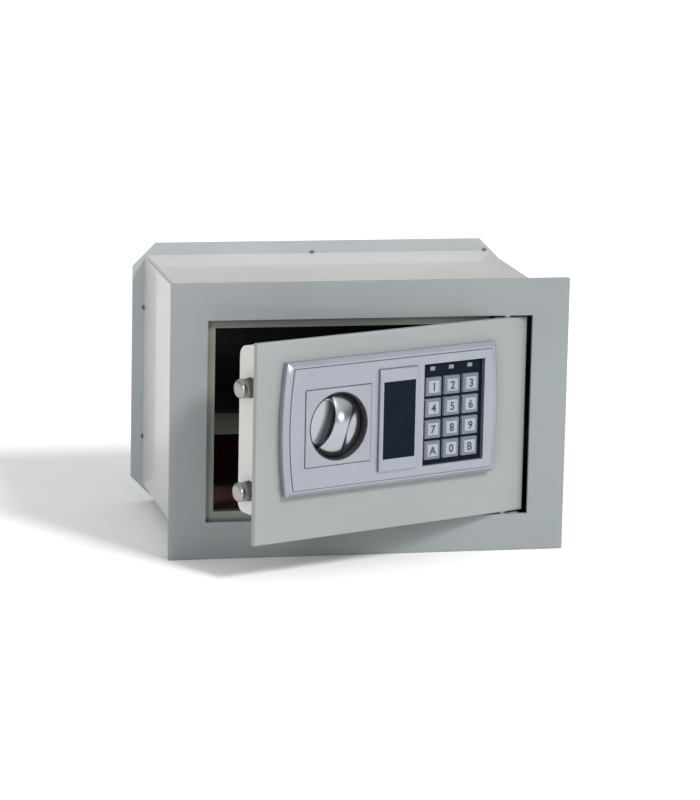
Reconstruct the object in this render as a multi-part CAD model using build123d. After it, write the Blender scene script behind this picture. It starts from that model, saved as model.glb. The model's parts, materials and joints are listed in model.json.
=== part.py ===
from build123d import *
import math
import os

# Electronic wall safe, in millimetres, +Z up, +Y into the wall, +X to the right.
# The origin is the centre of the flange's back face, which lies on the wall's surface.
# The door is drawn shut, then turned about its hinge to the angle it rests at.

# ---- overall sizes ----
FLANGE_W = 340.0
FLANGE_H = 234.0
FLANGE_T = 3.0
OPENING_W = 277.0
OPENING_H = 171.0
DEPTH = 218.0            # flange's back face to the rear plate's front face
BODY_MARGIN = 13.5       # how far the flange stands out past the body at the sides
BODY_MARGIN_Z = 12.6
SHEET = 2.0
BODY_BEND_R = 4.0
REAR_OVERHANG = 10.7     # how far the rear plate stands out past the body
REAR_CORNER_CUT = 20.5
REAR_T = 2.0
ANCHOR_X = 200.0
ANCHOR_Z = 110.0
ANCHOR_R = 6.0
TACK = 2.4               # weld tacks: their size across, half length and places
TACK_HALF = 2.0
TACK_CHAMFER = 0.8
TACK_MIDDLE = -6.5
TACK_INSET = 5.5
TACK_HEIGHT = 58.0

# ---- door stop frame and hinge ----
STOP_SHEET = 1.5
STOP_FACE = 4.5          # flange's back face to the lip's front face
STOP_WIDTH = 7.5
STOP_BOLT_PLAY = 0.8     # between the thrown bolts and the folded edge that they bear on
DOOR_T = 5.0
GAP = 1.8                # all round the door, except at the hinge
HINGE_GAP = 3.5
HINGE_INSET = 17.0       # hinge axis from the door's hinge edge
HINGE_BACK = 6.3         # hinge axis behind the door's front face
PIN_R = 3.0
PIN_RUN = 0.05           # radial running clearance of a turning or sliding round piece
PIN_GRIP = 20.0          # length of pin held by the door
PIN_CLEAR = 0.5          # clear height between the opening's edge and the bracket
BRACKET_T = 4.0
BRACKET_HALF = 14.0
BRACKET_DEPTH = 14.0
BLOCK_HALF = 8.0
BLOCK_T = 8.0
DOOR_OPEN = 22.24        # degrees

# ---- door pan ----
PAN_SHEET = 1.5
PAN_DEPTH = 36.0
PAN_INSET_FREE = 10.0
PAN_INSET_HINGE = 28.0
PAN_INSET_TOP = 7.0
PAN_INSET_FOOT = 21.0
PAN_BEND_TOP = 10.0
PAN_BEND_FOOT = 8.0
PILLAR_R = 4.0
PILLAR_INSET = 15.0      # pillars from the pan's edges
PILLAR_X = -56.0         # the pillars beside the lock's works
SCREW_R = 2.0
SCREW_HEAD_R = 3.8
SCREW_HEAD_T = 2.0

# ---- locking bolts ----
BOLT_R = 8.0
BOLT_LENGTH = 50.0
BOLT_Z = 43.0            # above and below the door's middle
BOLT_BACK = 24.0         # bolt axis behind the door's front face
BOLT_PROUD = 2.5         # thrown tip past the door's free edge
BOLT_HOLE_CLEAR = 0.5
BOLT_CHAMFER = 1.5
GUIDE_T = 3.0
GUIDE_INSET = 12.0       # guide behind the pan's wall
GUIDE_FOOT = 14.0
CARRIAGE_T = 3.0
CARRIAGE_HEAD = 19.0     # the plate's head above the knob's axis
CARRIAGE_DROP = 17.0     # its foot below the knob's axis
CARRIAGE_REACH = 8.0     # its free end past the solenoid's axis
CARRIAGE_BACK = 12.0     # front face of the carriage behind the door's front face
THROW = 12.0
TURN = 60.0              # degrees of knob for the whole throw

# ---- lock panel ----
PANEL_X = 129.5          # panel's middle from the door's free edge
PANEL_Z = 11.0
PANEL_W = 207.6
PANEL_H = 111.0
PANEL_BULGE = 4.0
PANEL_T = 9.0
PANEL_BEVEL = 3.0
PANEL_WALL = 2.4
FIELD_INSET = 2.2
FIELD_T = 0.6
KNOB_DX = -56.0
KNOB_BLOCK = 64.0
KNOB_BLOCK_T = 1.2
WELL_R = 27.3
WELL_WALL = 1.3
KNOB_R = 26.0
KNOB_RIM_T = 2.0
KNOB_DOME = 9.5
KNOB_TILT = 17.0         # the grip leans this far from upright with the bolts thrown
GRIP_WAIST = 6.8         # half of the grip's width at its middle
SCOOP_PLAN_R = 62.0
SCOOP_FILLET = 9.0
SPINDLE_R = 4.0
CRANK_PIN_R = 2.5
CRANK_T = 4.0

# ---- keypad ----
KEYPAD_DX = 60.5
KEYPAD_W = 62.0
KEYPAD_H = 86.0
KEYPAD_RECESS = 4.0
KEYS_DX = -1.0
KEYS_DZ = -4.0
KEY_W = 16.0
KEY_H = 15.6
KEY_PITCH_X = 19.0
KEY_PITCH_Z = 18.0
KEY_RISE = 2.4
KEY_PAD_W = 11.0
KEY_PAD_H = 10.6
KEY_PAD_T = 0.7
KEY_CLEAR = 0.35
KEY_TRAVEL = 0.7
LAMP_W = 5.0
LAMP_H = 3.6
LAMP_DZ = 38.0

# ---- centre cover and emergency lock ----
COVER_DX = 3.0
COVER_W = 38.0
COVER_H = 86.0
COVER_RISE = 3.0
COVER_WALL = 1.8
COVER_CLEAR = 0.3
WINDOW_W = 32.0
WINDOW_H = 65.0
WINDOW_T = 0.8
WINDOW_SINK = 0.5
LOCK_R = 9.0
LOCK_RIM_T = 1.5
LOCK_DZ = -29.0
PLUG_R = 5.5
LOCK_ARM = 28.0
LOCK_TURN = 66.0         # degrees of key between upright and the plunger held down

# ---- solenoid ----
SOLENOID_X = -30.0
SOLENOID_W = 24.0
SOLENOID_D = 17.0
SOLENOID_H = 30.0
SOLENOID_DROP = 14.0     # the carriage's foot to the solenoid's top
PLUNGER_R = 4.0
PLUNGER_STROKE = 5.0

# ---- batteries ----
CELL_R = 7.1
CELL_L = 50.5
CELL_PITCH = 15.3
CELL_COUNT = 4
BOX_WALL = 1.5
BOX_X = 66.0
BOX_Z = -1.0

# ---- inside of the safe ----
MAT_T = 3.0
SHELF_TOP = -19.5
SHELF_FRONT = 125.0
SHELF_LIP = 19.0
RAIL_W = 8.0
RAIL_H = 12.0
RAIL_INSET = 8.0         # rails from the shelf's front edge and from the rear plate
MAT_GAP = 3.0            # between the lining's top and the lower anchor holes

# ---- worked out from the sizes above ----
Y_FRONT = -FLANGE_T
BODY_W = FLANGE_W - 2 * BODY_MARGIN
BODY_H = FLANGE_H - 2 * BODY_MARGIN_Z
DOOR_X0 = -OPENING_W / 2 + GAP
DOOR_X1 = OPENING_W / 2 - HINGE_GAP
DOOR_Z = OPENING_H / 2 - GAP
DOOR_BACK = Y_FRONT + DOOR_T
HINGE_X = DOOR_X1 - HINGE_INSET
HINGE_Y = Y_FRONT + HINGE_BACK
HINGE_AXIS = Axis((HINGE_X, HINGE_Y, 0), (0, 0, 1))
PAN_X0 = DOOR_X0 + PAN_INSET_FREE
PAN_X1 = DOOR_X1 - PAN_INSET_HINGE
PAN_Z0 = -DOOR_Z + PAN_INSET_FOOT
PAN_Z1 = DOOR_Z - PAN_INSET_TOP
PAN_BACK = DOOR_BACK + PAN_DEPTH
BOLT_Y = Y_FRONT + BOLT_BACK
STOP_DEPTH = BOLT_Y - BOLT_R - STOP_BOLT_PLAY
BOLT_TIP = DOOR_X0 - BOLT_PROUD
BOLT_TAIL = BOLT_TIP + BOLT_LENGTH
WEB_Y = Y_FRONT + CARRIAGE_BACK
PANEL_CX = DOOR_X0 + PANEL_X
PANEL_FACE = Y_FRONT - PANEL_T - FIELD_T
KNOB_X = PANEL_CX + KNOB_DX
KEYPAD_X = PANEL_CX + KEYPAD_DX
COVER_X = PANEL_CX + COVER_DX
CRANK_R = THROW / 2 / math.sin(math.radians(TURN / 2))


def block(x0, x1, y0, y1, z0, z1):
    """A box between two corners."""
    middle = Pos((x0 + x1) / 2, (y0 + y1) / 2, (z0 + z1) / 2)
    return middle * Box(x1 - x0, y1 - y0, z1 - z0)


def slab(x, z, width, height, y0, y1):
    """A box whose middle is at x and z, from y0 to y1."""
    return block(x - width / 2, x + width / 2, y0, y1, z - height / 2, z + height / 2)


def rod_y(x, z, radius, y0, y1):
    """A round bar along Y."""
    return Pos(x, (y0 + y1) / 2, z) * Rot(90, 0, 0) * Cylinder(radius, y1 - y0)


def rod_x(y, z, radius, x0, x1):
    """A round bar along X."""
    return Pos((x0 + x1) / 2, y, z) * Rot(0, 90, 0) * Cylinder(radius, x1 - x0)


def rod_z(x, y, radius, z0, z1):
    """A round bar along Z."""
    return Pos(x, y, (z0 + z1) / 2) * Cylinder(radius, z1 - z0)


def edges_at(shape, axis, place, along=None):
    """A shape's edges whose middles lie at one place along an axis, with one direction if it is given."""
    picked = shape.edges().filter_by_position(axis, place - 0.01, place + 0.01)
    return picked.filter_by(along) if along else picked


def front_edges(shape, y):
    """The edges that lie wholly in the plane at y."""
    return ShapeList([e for e in shape.edges() if max(abs(v.Y - y) for v in e.vertices()) < 0.01])


def on_door(shape):
    """Turns a piece of the shut door to the angle the door rests at."""
    return shape.rotate(HINGE_AXIS, DOOR_OPEN)


# ---------------------------------------------------------------- body of the safe


def front_flange():
    """The front frame plate, with the door's opening. It covers the edge of the hole in the wall."""
    plate = block(-FLANGE_W / 2, FLANGE_W / 2, Y_FRONT, 0, -FLANGE_H / 2, FLANGE_H / 2)
    plate = fillet(plate.edges().filter_by(Axis.Y), 1.2)
    plate -= block(-OPENING_W / 2, OPENING_W / 2, Y_FRONT - 1, 1, -OPENING_H / 2, OPENING_H / 2)
    return fillet(front_edges(plate, Y_FRONT), 0.5)


def door_stop_frame():
    """The folded lining of the opening: a lip that stops the door, and an edge folded back for the bolts.

    It runs up the bolt side and along the top and foot, and ends before the hinge.
    """
    half_w, half_h = OPENING_W / 2, OPENING_H / 2
    lip_back = STOP_FACE + STOP_SHEET
    inner_w, inner_h = OPENING_W - 2 * STOP_WIDTH, OPENING_H - 2 * STOP_WIDTH
    lining = slab(0, 0, OPENING_W + 2 * STOP_SHEET, OPENING_H + 2 * STOP_SHEET, 0, lip_back)
    lining -= slab(0, 0, OPENING_W, OPENING_H, -1, STOP_FACE)
    lining += slab(0, 0, inner_w + 2 * STOP_SHEET, inner_h + 2 * STOP_SHEET, STOP_FACE, STOP_DEPTH)
    lining -= slab(0, 0, inner_w, inner_h, -1, STOP_DEPTH + 1)
    end = HINGE_X - BRACKET_HALF - 1
    return lining - block(end, half_w + 5, -1, STOP_DEPTH + 1, -half_h - 5, half_h + 5)


def body_shell():
    """The four walls of the safe, one folded and welded sheet."""
    shell = block(-BODY_W / 2, BODY_W / 2, 0, DEPTH, -BODY_H / 2, BODY_H / 2)
    shell = fillet(shell.edges().filter_by(Axis.Y), BODY_BEND_R)
    hollow = slab(0, 0, BODY_W - 2 * SHEET, BODY_H - 2 * SHEET, -1, DEPTH + 1)
    hollow = fillet(hollow.edges().filter_by(Axis.Y), BODY_BEND_R - SHEET)
    return shell - hollow


def rear_plate():
    """The back wall, larger than the body, with cut corners and four anchor holes."""
    plate = slab(0, 0, BODY_W + 2 * REAR_OVERHANG, BODY_H + 2 * REAR_OVERHANG, DEPTH, DEPTH + REAR_T)
    plate = chamfer(plate.edges().filter_by(Axis.Y), REAR_CORNER_CUT)
    for x in (-ANCHOR_X / 2, ANCHOR_X / 2):
        for z in (-ANCHOR_Z / 2, ANCHOR_Z / 2):
            plate -= rod_y(x, z, ANCHOR_R, DEPTH - 1, DEPTH + REAR_T + 1)
    return plate


def seam_welds():
    """Weld tacks in the corner between the body and the rear plate."""
    front = DEPTH - TACK
    side, top = BODY_W / 2, BODY_H / 2
    beads = []
    for sign in (-1, 1):
        low, high = sorted((sign * top, sign * (top + TACK)))
        for x in (TACK_MIDDLE, side - TACK_INSET):
            beads.append(block(x - TACK_HALF, x + TACK_HALF, front, DEPTH, low, high))
        left, right = sorted((sign * side, sign * (side + TACK)))
        for z in (-TACK_HEIGHT, TACK_HEIGHT):
            beads.append(block(left, right, front, DEPTH, z - TACK_HALF, z + TACK_HALF))
    rounded = []
    for bead in beads:
        rounded.append(chamfer(bead.edges().filter_by(Axis.Y), TACK_CHAMFER))
    return rounded


def hinge_brackets():
    """Two plates behind the flange, above and below the opening, that hold the hinge pins."""
    brackets = []
    for sign in (-1, 1):
        near = OPENING_H / 2 + PIN_CLEAR
        low, high = sorted((sign * near, sign * (near + BRACKET_T)))
        plate = block(HINGE_X - BRACKET_HALF, HINGE_X + BRACKET_HALF, 0, BRACKET_DEPTH, low, high)
        brackets.append(plate - rod_z(HINGE_X, HINGE_Y, PIN_R + PIN_RUN, low - 1, high + 1))
    return brackets


def shelf():
    """The sheet shelf, with a lip folded down along its front edge."""
    half = BODY_W / 2 - SHEET - 2
    back = DEPTH - 3
    board = block(-half, half, SHELF_FRONT, back, SHELF_TOP - STOP_SHEET, SHELF_TOP)
    board += block(-half, half, SHELF_FRONT, SHELF_FRONT + STOP_SHEET, SHELF_TOP - SHELF_LIP, SHELF_TOP)
    return fillet(edges_at(board, Axis.Z, SHELF_TOP, Axis.X).sort_by(Axis.Y)[:1], 1.0)


def shelf_rails():
    """Two angle rails welded to the side walls, under the shelf."""
    wall = BODY_W / 2 - SHEET
    under = SHELF_TOP - STOP_SHEET
    front, back = SHELF_FRONT + RAIL_INSET, DEPTH - RAIL_INSET
    rails = []
    for sign in (-1, 1):
        left, right = sorted((sign * wall, sign * (wall - RAIL_W)))
        ledge = block(left, right, front, back, under - STOP_SHEET, under)
        left, right = sorted((sign * wall, sign * (wall - STOP_SHEET)))
        rails.append(ledge + block(left, right, front, back, under - RAIL_H, under))
    return rails


def floor_mat():
    """The felt lining on the floor of the safe, turned up the rear wall as far as the anchor holes."""
    half = BODY_W / 2 - SHEET - 2.5
    floor = -BODY_H / 2 + SHEET
    back = DEPTH - 1
    mat = block(-half, half, STOP_DEPTH + 2, back, floor, floor + MAT_T)
    return mat + block(-half, half, back - MAT_T, back, floor, -ANCHOR_Z / 2 - ANCHOR_R - MAT_GAP)


# ---------------------------------------------------------------- door


def door_plate():
    """The flat steel door, with its bores, and a groove at each end for the hinge pins."""
    plate = block(DOOR_X0, DOOR_X1, Y_FRONT, DOOR_BACK, -DOOR_Z, DOOR_Z)
    plate = fillet(front_edges(plate, Y_FRONT), 1.4)
    plate -= rod_y(KNOB_X, PANEL_Z, SPINDLE_R + 3, Y_FRONT - 1, DOOR_BACK + 1)
    plate -= rod_y(COVER_X, PANEL_Z + LOCK_DZ, LOCK_R + 0.2, Y_FRONT - 1, DOOR_BACK + 1)
    plate -= slab(KEYPAD_X, PANEL_Z + 9, 18, 6, Y_FRONT - 1, DOOR_BACK + 1)
    for x, z in panel_fixings():
        plate -= rod_y(x, z, SCREW_R + 0.2, Y_FRONT - 1, DOOR_BACK + 1)
    for sign in (-1, 1):
        low, high = sorted((sign * (DOOR_Z - PIN_GRIP), sign * (DOOR_Z + 1)))
        plate -= rod_z(HINGE_X, HINGE_Y, PIN_R, low, high)
    return plate


def hinge_blocks():
    """The two blocks welded behind the door that hold the hinge pins."""
    blocks = []
    for sign in (-1, 1):
        low, high = sorted((sign * (DOOR_Z - PIN_GRIP), sign * (DOOR_Z - 0.5)))
        body = block(HINGE_X - BLOCK_HALF, HINGE_X + BLOCK_HALF, DOOR_BACK, DOOR_BACK + BLOCK_T, low, high)
        blocks.append(body - rod_z(HINGE_X, HINGE_Y, PIN_R, low - 1, high + 1))
    return blocks


def hinge_pins():
    """The upper and lower hinge pins, fast in the door."""
    reach = OPENING_H / 2 + PIN_CLEAR + BRACKET_T + 1
    pins = []
    for sign in (-1, 1):
        low, high = sorted((sign * (DOOR_Z - PIN_GRIP), sign * reach))
        pin = rod_z(HINGE_X, HINGE_Y, PIN_R, low, high)
        end = pin.edges().filter_by(GeomType.CIRCLE).sort_by(Axis.Z)[-1 if sign > 0 else 0]
        pins.append(chamfer(end, 0.6))
    return pins


def pillar_places():
    """Where the four pillars stand, inside the pan's corners."""
    x_places = (PILLAR_X, PAN_X1 - 9)
    z_places = (PAN_Z0 + PILLAR_INSET, PAN_Z1 - PILLAR_INSET)
    return [(x, z) for x in x_places for z in z_places]


def door_pan():
    """The deep pan behind the door, with bolt holes, a battery opening and a button hole."""
    pan = block(PAN_X0, PAN_X1, DOOR_BACK, PAN_BACK, PAN_Z0, PAN_Z1)
    inner = block(
        PAN_X0 + PAN_SHEET,
        PAN_X1 - PAN_SHEET,
        DOOR_BACK,
        PAN_BACK - PAN_SHEET,
        PAN_Z0 + PAN_SHEET,
        PAN_Z1 - PAN_SHEET,
    )
    for z, bend in ((PAN_Z1, PAN_BEND_TOP), (PAN_Z0, PAN_BEND_FOOT)):
        pan = fillet(back_edge(pan, PAN_BACK, z), bend)
        inside = z - math.copysign(PAN_SHEET, z)
        inner = fillet(back_edge(inner, PAN_BACK - PAN_SHEET, inside), bend - PAN_SHEET)
    pan -= inner
    for sign in (-1, 1):
        pan -= rod_x(BOLT_Y, sign * BOLT_Z, BOLT_R + BOLT_HOLE_CLEAR, PAN_X0 - 1, PAN_X0 + PAN_SHEET + 1)
    box_w, box_h = box_size()
    pan -= slab(BOX_X, BOX_Z, box_w + 0.4, box_h + 0.4, PAN_BACK - 3, PAN_BACK + 1)
    x, z = button_place()
    pan -= rod_y(x, z, 4.2, PAN_BACK - 3, PAN_BACK + 1)
    for x, z in pillar_places():
        pan -= rod_y(x, z, SCREW_R + 0.2, PAN_BACK - 3, PAN_BACK + 1)
    return pan


def back_edge(shape, y, z):
    """The edge along X at one depth and height."""
    along = shape.edges().filter_by(Axis.X)
    deep = along.filter_by_position(Axis.Y, y - 0.01, y + 0.01)
    return deep.filter_by_position(Axis.Z, z - 0.01, z + 0.01)


def pan_pillars():
    """Four round pillars on the door, which the pan's screws go into."""
    pillars = []
    for x, z in pillar_places():
        pillar = rod_y(x, z, PILLAR_R, DOOR_BACK, PAN_BACK - PAN_SHEET)
        pillars.append(pillar - rod_y(x, z, SCREW_R, PAN_BACK - 13, PAN_BACK))
    return pillars


def pan_screws():
    """Four round-headed screws through the pan's back."""
    return [screw_y(x, z, PAN_BACK, -1, 12) for x, z in pillar_places()]


def screw_y(x, z, y, into, length):
    """A screw along Y whose head sits on the face at y and whose shank goes the way that into says."""
    far = y + into * length
    head = y - into * SCREW_HEAD_T
    shank = rod_y(x, z, SCREW_R, *sorted((y, far)))
    cap = rod_y(x, z, SCREW_HEAD_R, *sorted((y, head)))
    rim = cap.edges().filter_by(GeomType.CIRCLE).filter_by_position(Axis.Y, head - 0.01, head + 0.01)
    cap = fillet(rim, 0.9)
    for turn in (0, 90):
        recess = Pos(x, head + into * 0.4, z) * Rot(0, turn, 0) * Box(4.2, 1.0, 0.9)
        cap -= recess
    return cap + shank


def bolt_guide():
    """The angle welded behind the door that the bolts slide in."""
    x = PAN_X0 + PAN_SHEET + GUIDE_INSET
    reach = BOLT_Z + BOLT_R + 3
    guide = block(x, x + GUIDE_T, DOOR_BACK, BOLT_Y + BOLT_R + 2, -reach, reach)
    guide += block(x, x + GUIDE_FOOT, DOOR_BACK, DOOR_BACK + GUIDE_T - 0.5, -reach, reach)
    for sign in (-1, 1):
        guide -= rod_x(BOLT_Y, sign * BOLT_Z, BOLT_R + PIN_RUN, x - 1, x + GUIDE_T + 1)
    return guide


def locking_bolts():
    """The two round locking bolts, chamfered at their tips and tapped at their tails."""
    bolts = []
    for sign in (-1, 1):
        bolt = rod_x(BOLT_Y, sign * BOLT_Z, BOLT_R, BOLT_TIP, BOLT_TAIL)
        bolt = chamfer(edges_at(bolt, Axis.X, BOLT_TIP), BOLT_CHAMFER)
        bolts.append(bolt - rod_x(BOLT_Y, sign * BOLT_Z, SCREW_R + 0.5, BOLT_TAIL - 12, BOLT_TAIL + 1))
    return bolts


def carriage_foot():
    """The height of the foot of the carriage's plate, where its two notches are."""
    return PANEL_Z - CARRIAGE_DROP


def bolt_carriage():
    """The angle plate that joins the bolts. The crank pin works in its upright slot."""
    reach = BOLT_Z + BOLT_R + 3
    foot, head = carriage_foot(), PANEL_Z + CARRIAGE_HEAD
    right = SOLENOID_X + CARRIAGE_REACH
    front, back = WEB_Y - 1, WEB_Y + CARRIAGE_T + 1
    carriage = block(BOLT_TAIL, BOLT_TAIL + CARRIAGE_T, WEB_Y, BOLT_Y + BOLT_R + 2, -reach, reach)
    carriage += block(BOLT_TAIL, right, WEB_Y, WEB_Y + CARRIAGE_T, foot, head)
    for sign in (-1, 1):
        carriage -= rod_x(BOLT_Y, sign * BOLT_Z, SCREW_R + 0.6, BOLT_TAIL - 1, BOLT_TAIL + CARRIAGE_T + 1)
    ends = (KNOB_X - THROW, KNOB_X)
    clear = SPINDLE_R + 0.6
    for x in ends:
        carriage -= rod_y(x, PANEL_Z, clear, front, back)
    carriage -= block(*ends, front, back, PANEL_Z - clear, PANEL_Z + clear)
    low = CRANK_R * math.cos(math.radians(TURN / 2))
    slot_r = CRANK_PIN_R + 0.25
    x = KNOB_X - THROW / 2
    for z in (low, CRANK_R):
        carriage -= rod_y(x, PANEL_Z + z, slot_r, front, back)
    carriage -= block(x - slot_r, x + slot_r, front, back, PANEL_Z + low, PANEL_Z + CRANK_R)
    notch = PLUNGER_R + 0.4
    for middle in (SOLENOID_X, SOLENOID_X - THROW):
        carriage -= block(middle - notch, middle + notch, front, back, foot - 1, foot + PLUNGER_STROKE)
    return carriage


def bolt_screws():
    """The two screws that hold the bolts to the carriage."""
    screws = []
    for sign in (-1, 1):
        z = sign * BOLT_Z
        back = BOLT_TAIL + CARRIAGE_T
        shank = rod_x(BOLT_Y, z, SCREW_R + 0.5, BOLT_TAIL - 10, back)
        screws.append(shank + rod_x(BOLT_Y, z, SCREW_HEAD_R + 0.8, back, back + 3))
    return screws


# ---------------------------------------------------------------- lock panel


def panel_outline(inset):
    """The panel's outline in the XZ plane: straight at its top and foot, bowed at its sides."""
    half_w, half_h = PANEL_W / 2 - inset, PANEL_H / 2 - inset
    bow = half_w + PANEL_BULGE
    plane = Plane(origin=(PANEL_CX, 0, PANEL_Z), x_dir=(1, 0, 0), z_dir=(0, -1, 0))
    top = Line((-half_w, half_h), (half_w, half_h))
    foot = Line((half_w, -half_h), (-half_w, -half_h))
    right = ThreePointArc((half_w, half_h), (bow, 0), (half_w, -half_h))
    left = ThreePointArc((-half_w, -half_h), (-bow, 0), (-half_w, half_h))
    return plane * make_face([top, right, foot, left])


def raised(inset, y0, y1):
    """The panel's outline as a solid from y0 out to y1, where y1 is nearer the viewer."""
    return Pos(0, y0, 0) * extrude(panel_outline(inset), y0 - y1)


def panel_fixings():
    """Where the four panel screws go."""
    places = []
    for x in (PANEL_CX - PANEL_W / 2 + 19, PANEL_CX + PANEL_W / 2 - 5.5):
        for z in (PANEL_Z - 44, PANEL_Z + 44):
            places.append((x, z))
    return places


def lock_panel():
    """The moulded panel: a bevelled shell with a raised field, a knob block and three pockets."""
    face = Y_FRONT - PANEL_T
    panel = raised(0, Y_FRONT, face)
    panel = chamfer(front_edges(panel, face), PANEL_BEVEL)
    field = raised(PANEL_BEVEL + FIELD_INSET, face, PANEL_FACE)
    panel += fillet(field.edges().filter_by(Axis.Y), 1.5)
    knob_block = slab(KNOB_X, PANEL_Z, KNOB_BLOCK, KNOB_BLOCK, PANEL_FACE - KNOB_BLOCK_T, face)
    panel += chamfer(front_edges(knob_block, PANEL_FACE - KNOB_BLOCK_T), 0.5)
    panel -= raised(PANEL_BEVEL + PANEL_WALL, Y_FRONT, face + 2.0)
    pocket = PANEL_FACE - 5
    back = 1.5
    panel += slab(KEYPAD_X, PANEL_Z, KEYPAD_W + 3, KEYPAD_H + 3, face + 1, keypad_face())
    panel -= slab(KEYPAD_X, PANEL_Z, KEYPAD_W, KEYPAD_H, pocket, Y_FRONT)
    cover_w, cover_h = COVER_W + 2 * COVER_CLEAR, COVER_H + 2 * COVER_CLEAR
    panel += slab(COVER_X, PANEL_Z, cover_w + 2 * back, cover_h + 2 * back, face + 1, Y_FRONT - 1)
    panel -= slab(COVER_X, PANEL_Z, cover_w, cover_h, pocket, Y_FRONT)
    well = WELL_R + WELL_WALL
    panel += rod_y(KNOB_X, PANEL_Z, well + back, face + 1, Y_FRONT - 1)
    panel -= rod_y(KNOB_X, PANEL_Z, well, pocket, Y_FRONT)
    for x, z in panel_fixings():
        panel += rod_y(x, z, SCREW_R + 2, face + 1.5, Y_FRONT)
        panel -= rod_y(x, z, SCREW_R, face + 3, Y_FRONT + 1)
    return panel


def panel_screws():
    """Four screws through the door into the panel."""
    return [screw_y(x, z, DOOR_BACK, -1, 10) for x, z in panel_fixings()]


def knob_well():
    """The black cup that the knob turns in."""
    back = Y_FRONT - 1.0
    rim = PANEL_FACE - KNOB_BLOCK_T + 0.4
    cup = rod_y(KNOB_X, PANEL_Z, WELL_R + WELL_WALL, rim, back)
    cup -= rod_y(KNOB_X, PANEL_Z, WELL_R, rim - 1, back - 1.2)
    return cup - rod_y(KNOB_X, PANEL_Z, SPINDLE_R + 1.5, rim, back + 1)


def knob_back():
    """Where the knob's back face lies."""
    return Y_FRONT - 3.2


def knob():
    """The turning knob: a low dome, scooped on both sides to leave a waisted grip."""
    back = knob_back()
    rim = back - KNOB_RIM_T
    top = rim - KNOB_DOME
    dome_r = (KNOB_R**2 + KNOB_DOME**2) / (2 * KNOB_DOME)
    mid = KNOB_R * 0.6
    rise = math.sqrt(dome_r**2 - mid**2) - (dome_r - KNOB_DOME)
    # the half section is drawn with its radius along X and its height along Y, then spun
    section = make_face(
        [
            Line((0, 0), (KNOB_R, 0)),
            Line((KNOB_R, 0), (KNOB_R, KNOB_RIM_T)),
            ThreePointArc((KNOB_R, KNOB_RIM_T), (mid, KNOB_RIM_T + rise), (0, back - top)),
            Line((0, back - top), (0, 0)),
        ]
    )
    body = revolve(section, Axis.Y, 360)
    scoop = scoop_tool(KNOB_RIM_T + 0.8, back - top + 1)
    reach = GRIP_WAIST + SCOOP_PLAN_R
    body -= Pos(reach, 0, 0) * scoop
    body -= Pos(-reach, 0, 0) * scoop
    body = Pos(KNOB_X, back, PANEL_Z) * Rot(0, KNOB_TILT, 0) * Rot(180, 0, 0) * body
    return body - rod_y(KNOB_X, PANEL_Z, SPINDLE_R, back - 6, back + 1)


def scoop_tool(floor, ceiling):
    """The cutter for one finger scoop: a wide disc with a rounded foot, standing on the scoop's floor."""
    outer = SCOOP_PLAN_R
    inner = outer - SCOOP_FILLET
    bend = SCOOP_FILLET * (1 - math.sqrt(0.5))
    section = make_face(
        [
            Line((0, floor), (inner, floor)),
            ThreePointArc((inner, floor), (outer - bend, floor + bend), (outer, floor + SCOOP_FILLET)),
            Line((outer, floor + SCOOP_FILLET), (outer, ceiling + SCOOP_FILLET)),
            Line((outer, ceiling + SCOOP_FILLET), (0, ceiling + SCOOP_FILLET)),
            Line((0, ceiling + SCOOP_FILLET), (0, floor)),
        ]
    )
    return revolve(section, Axis.Y, 360)


def spindle():
    """The knob's spindle, through the door to the crank."""
    bar = rod_y(KNOB_X, PANEL_Z, SPINDLE_R, knob_back() - 6, crank_face() + 6.5)
    return bar - groove_y(KNOB_X, PANEL_Z, crank_face() + 4.2)


def crank_face():
    """The front face of the crank, just behind the carriage."""
    return WEB_Y + CARRIAGE_T + 0.6


def groove_y(x, z, y):
    """The clip's groove round the spindle."""
    ring = rod_y(x, z, SPINDLE_R + 1, y, y + 1.2)
    return ring - rod_y(x, z, SPINDLE_R - 0.8, y - 1, y + 2)


def crank_place(turn):
    """The crank pin's place beside the spindle, at an angle from upright."""
    angle = math.radians(turn)
    return KNOB_X + CRANK_R * math.sin(angle), PANEL_Z + CRANK_R * math.cos(angle)


def crank():
    """The crank on the spindle, one forging with the pin that moves the carriage."""
    y0 = crank_face()
    x, z = crank_place(-TURN / 2)
    end_r = CRANK_PIN_R + 2.5
    plate = rod_y(KNOB_X, PANEL_Z, SPINDLE_R + 4, y0, y0 + CRANK_T)
    plate += rod_y(x, z, end_r, y0, y0 + CRANK_T)
    bar = slab(KNOB_X, PANEL_Z + CRANK_R / 2, 2 * end_r, CRANK_R, y0, y0 + CRANK_T)
    plate += bar.rotate(Axis((KNOB_X, 0, PANEL_Z), (0, 1, 0)), -TURN / 2)
    plate -= rod_y(KNOB_X, PANEL_Z, SPINDLE_R, y0 - 1, y0 + CRANK_T + 1)
    return plate + rod_y(x, z, CRANK_PIN_R, WEB_Y - 0.4, y0)


def spindle_clip():
    """The clip that keeps the crank on the spindle."""
    y = crank_face() + 4.2
    ring = rod_y(KNOB_X, PANEL_Z, SPINDLE_R + 2.5, y + 0.1, y + 1.1)
    ring -= rod_y(KNOB_X, PANEL_Z, SPINDLE_R - 0.8, y, y + 2)
    return ring - slab(KNOB_X, PANEL_Z - 6, 5, 10, y, y + 2)


def spindle_bush():
    """The flanged bush in the door that the spindle turns in."""
    bush = rod_y(KNOB_X, PANEL_Z, SPINDLE_R + 3, Y_FRONT, DOOR_BACK + 2)
    bush += rod_y(KNOB_X, PANEL_Z, SPINDLE_R + 6, DOOR_BACK, DOOR_BACK + 2)
    return bush - rod_y(KNOB_X, PANEL_Z, SPINDLE_R + PIN_RUN, Y_FRONT - 1, DOOR_BACK + 3)


# ---------------------------------------------------------------- keypad


def keypad_face():
    """The front face of the keypad's dark plate."""
    return PANEL_FACE + KEYPAD_RECESS


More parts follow.
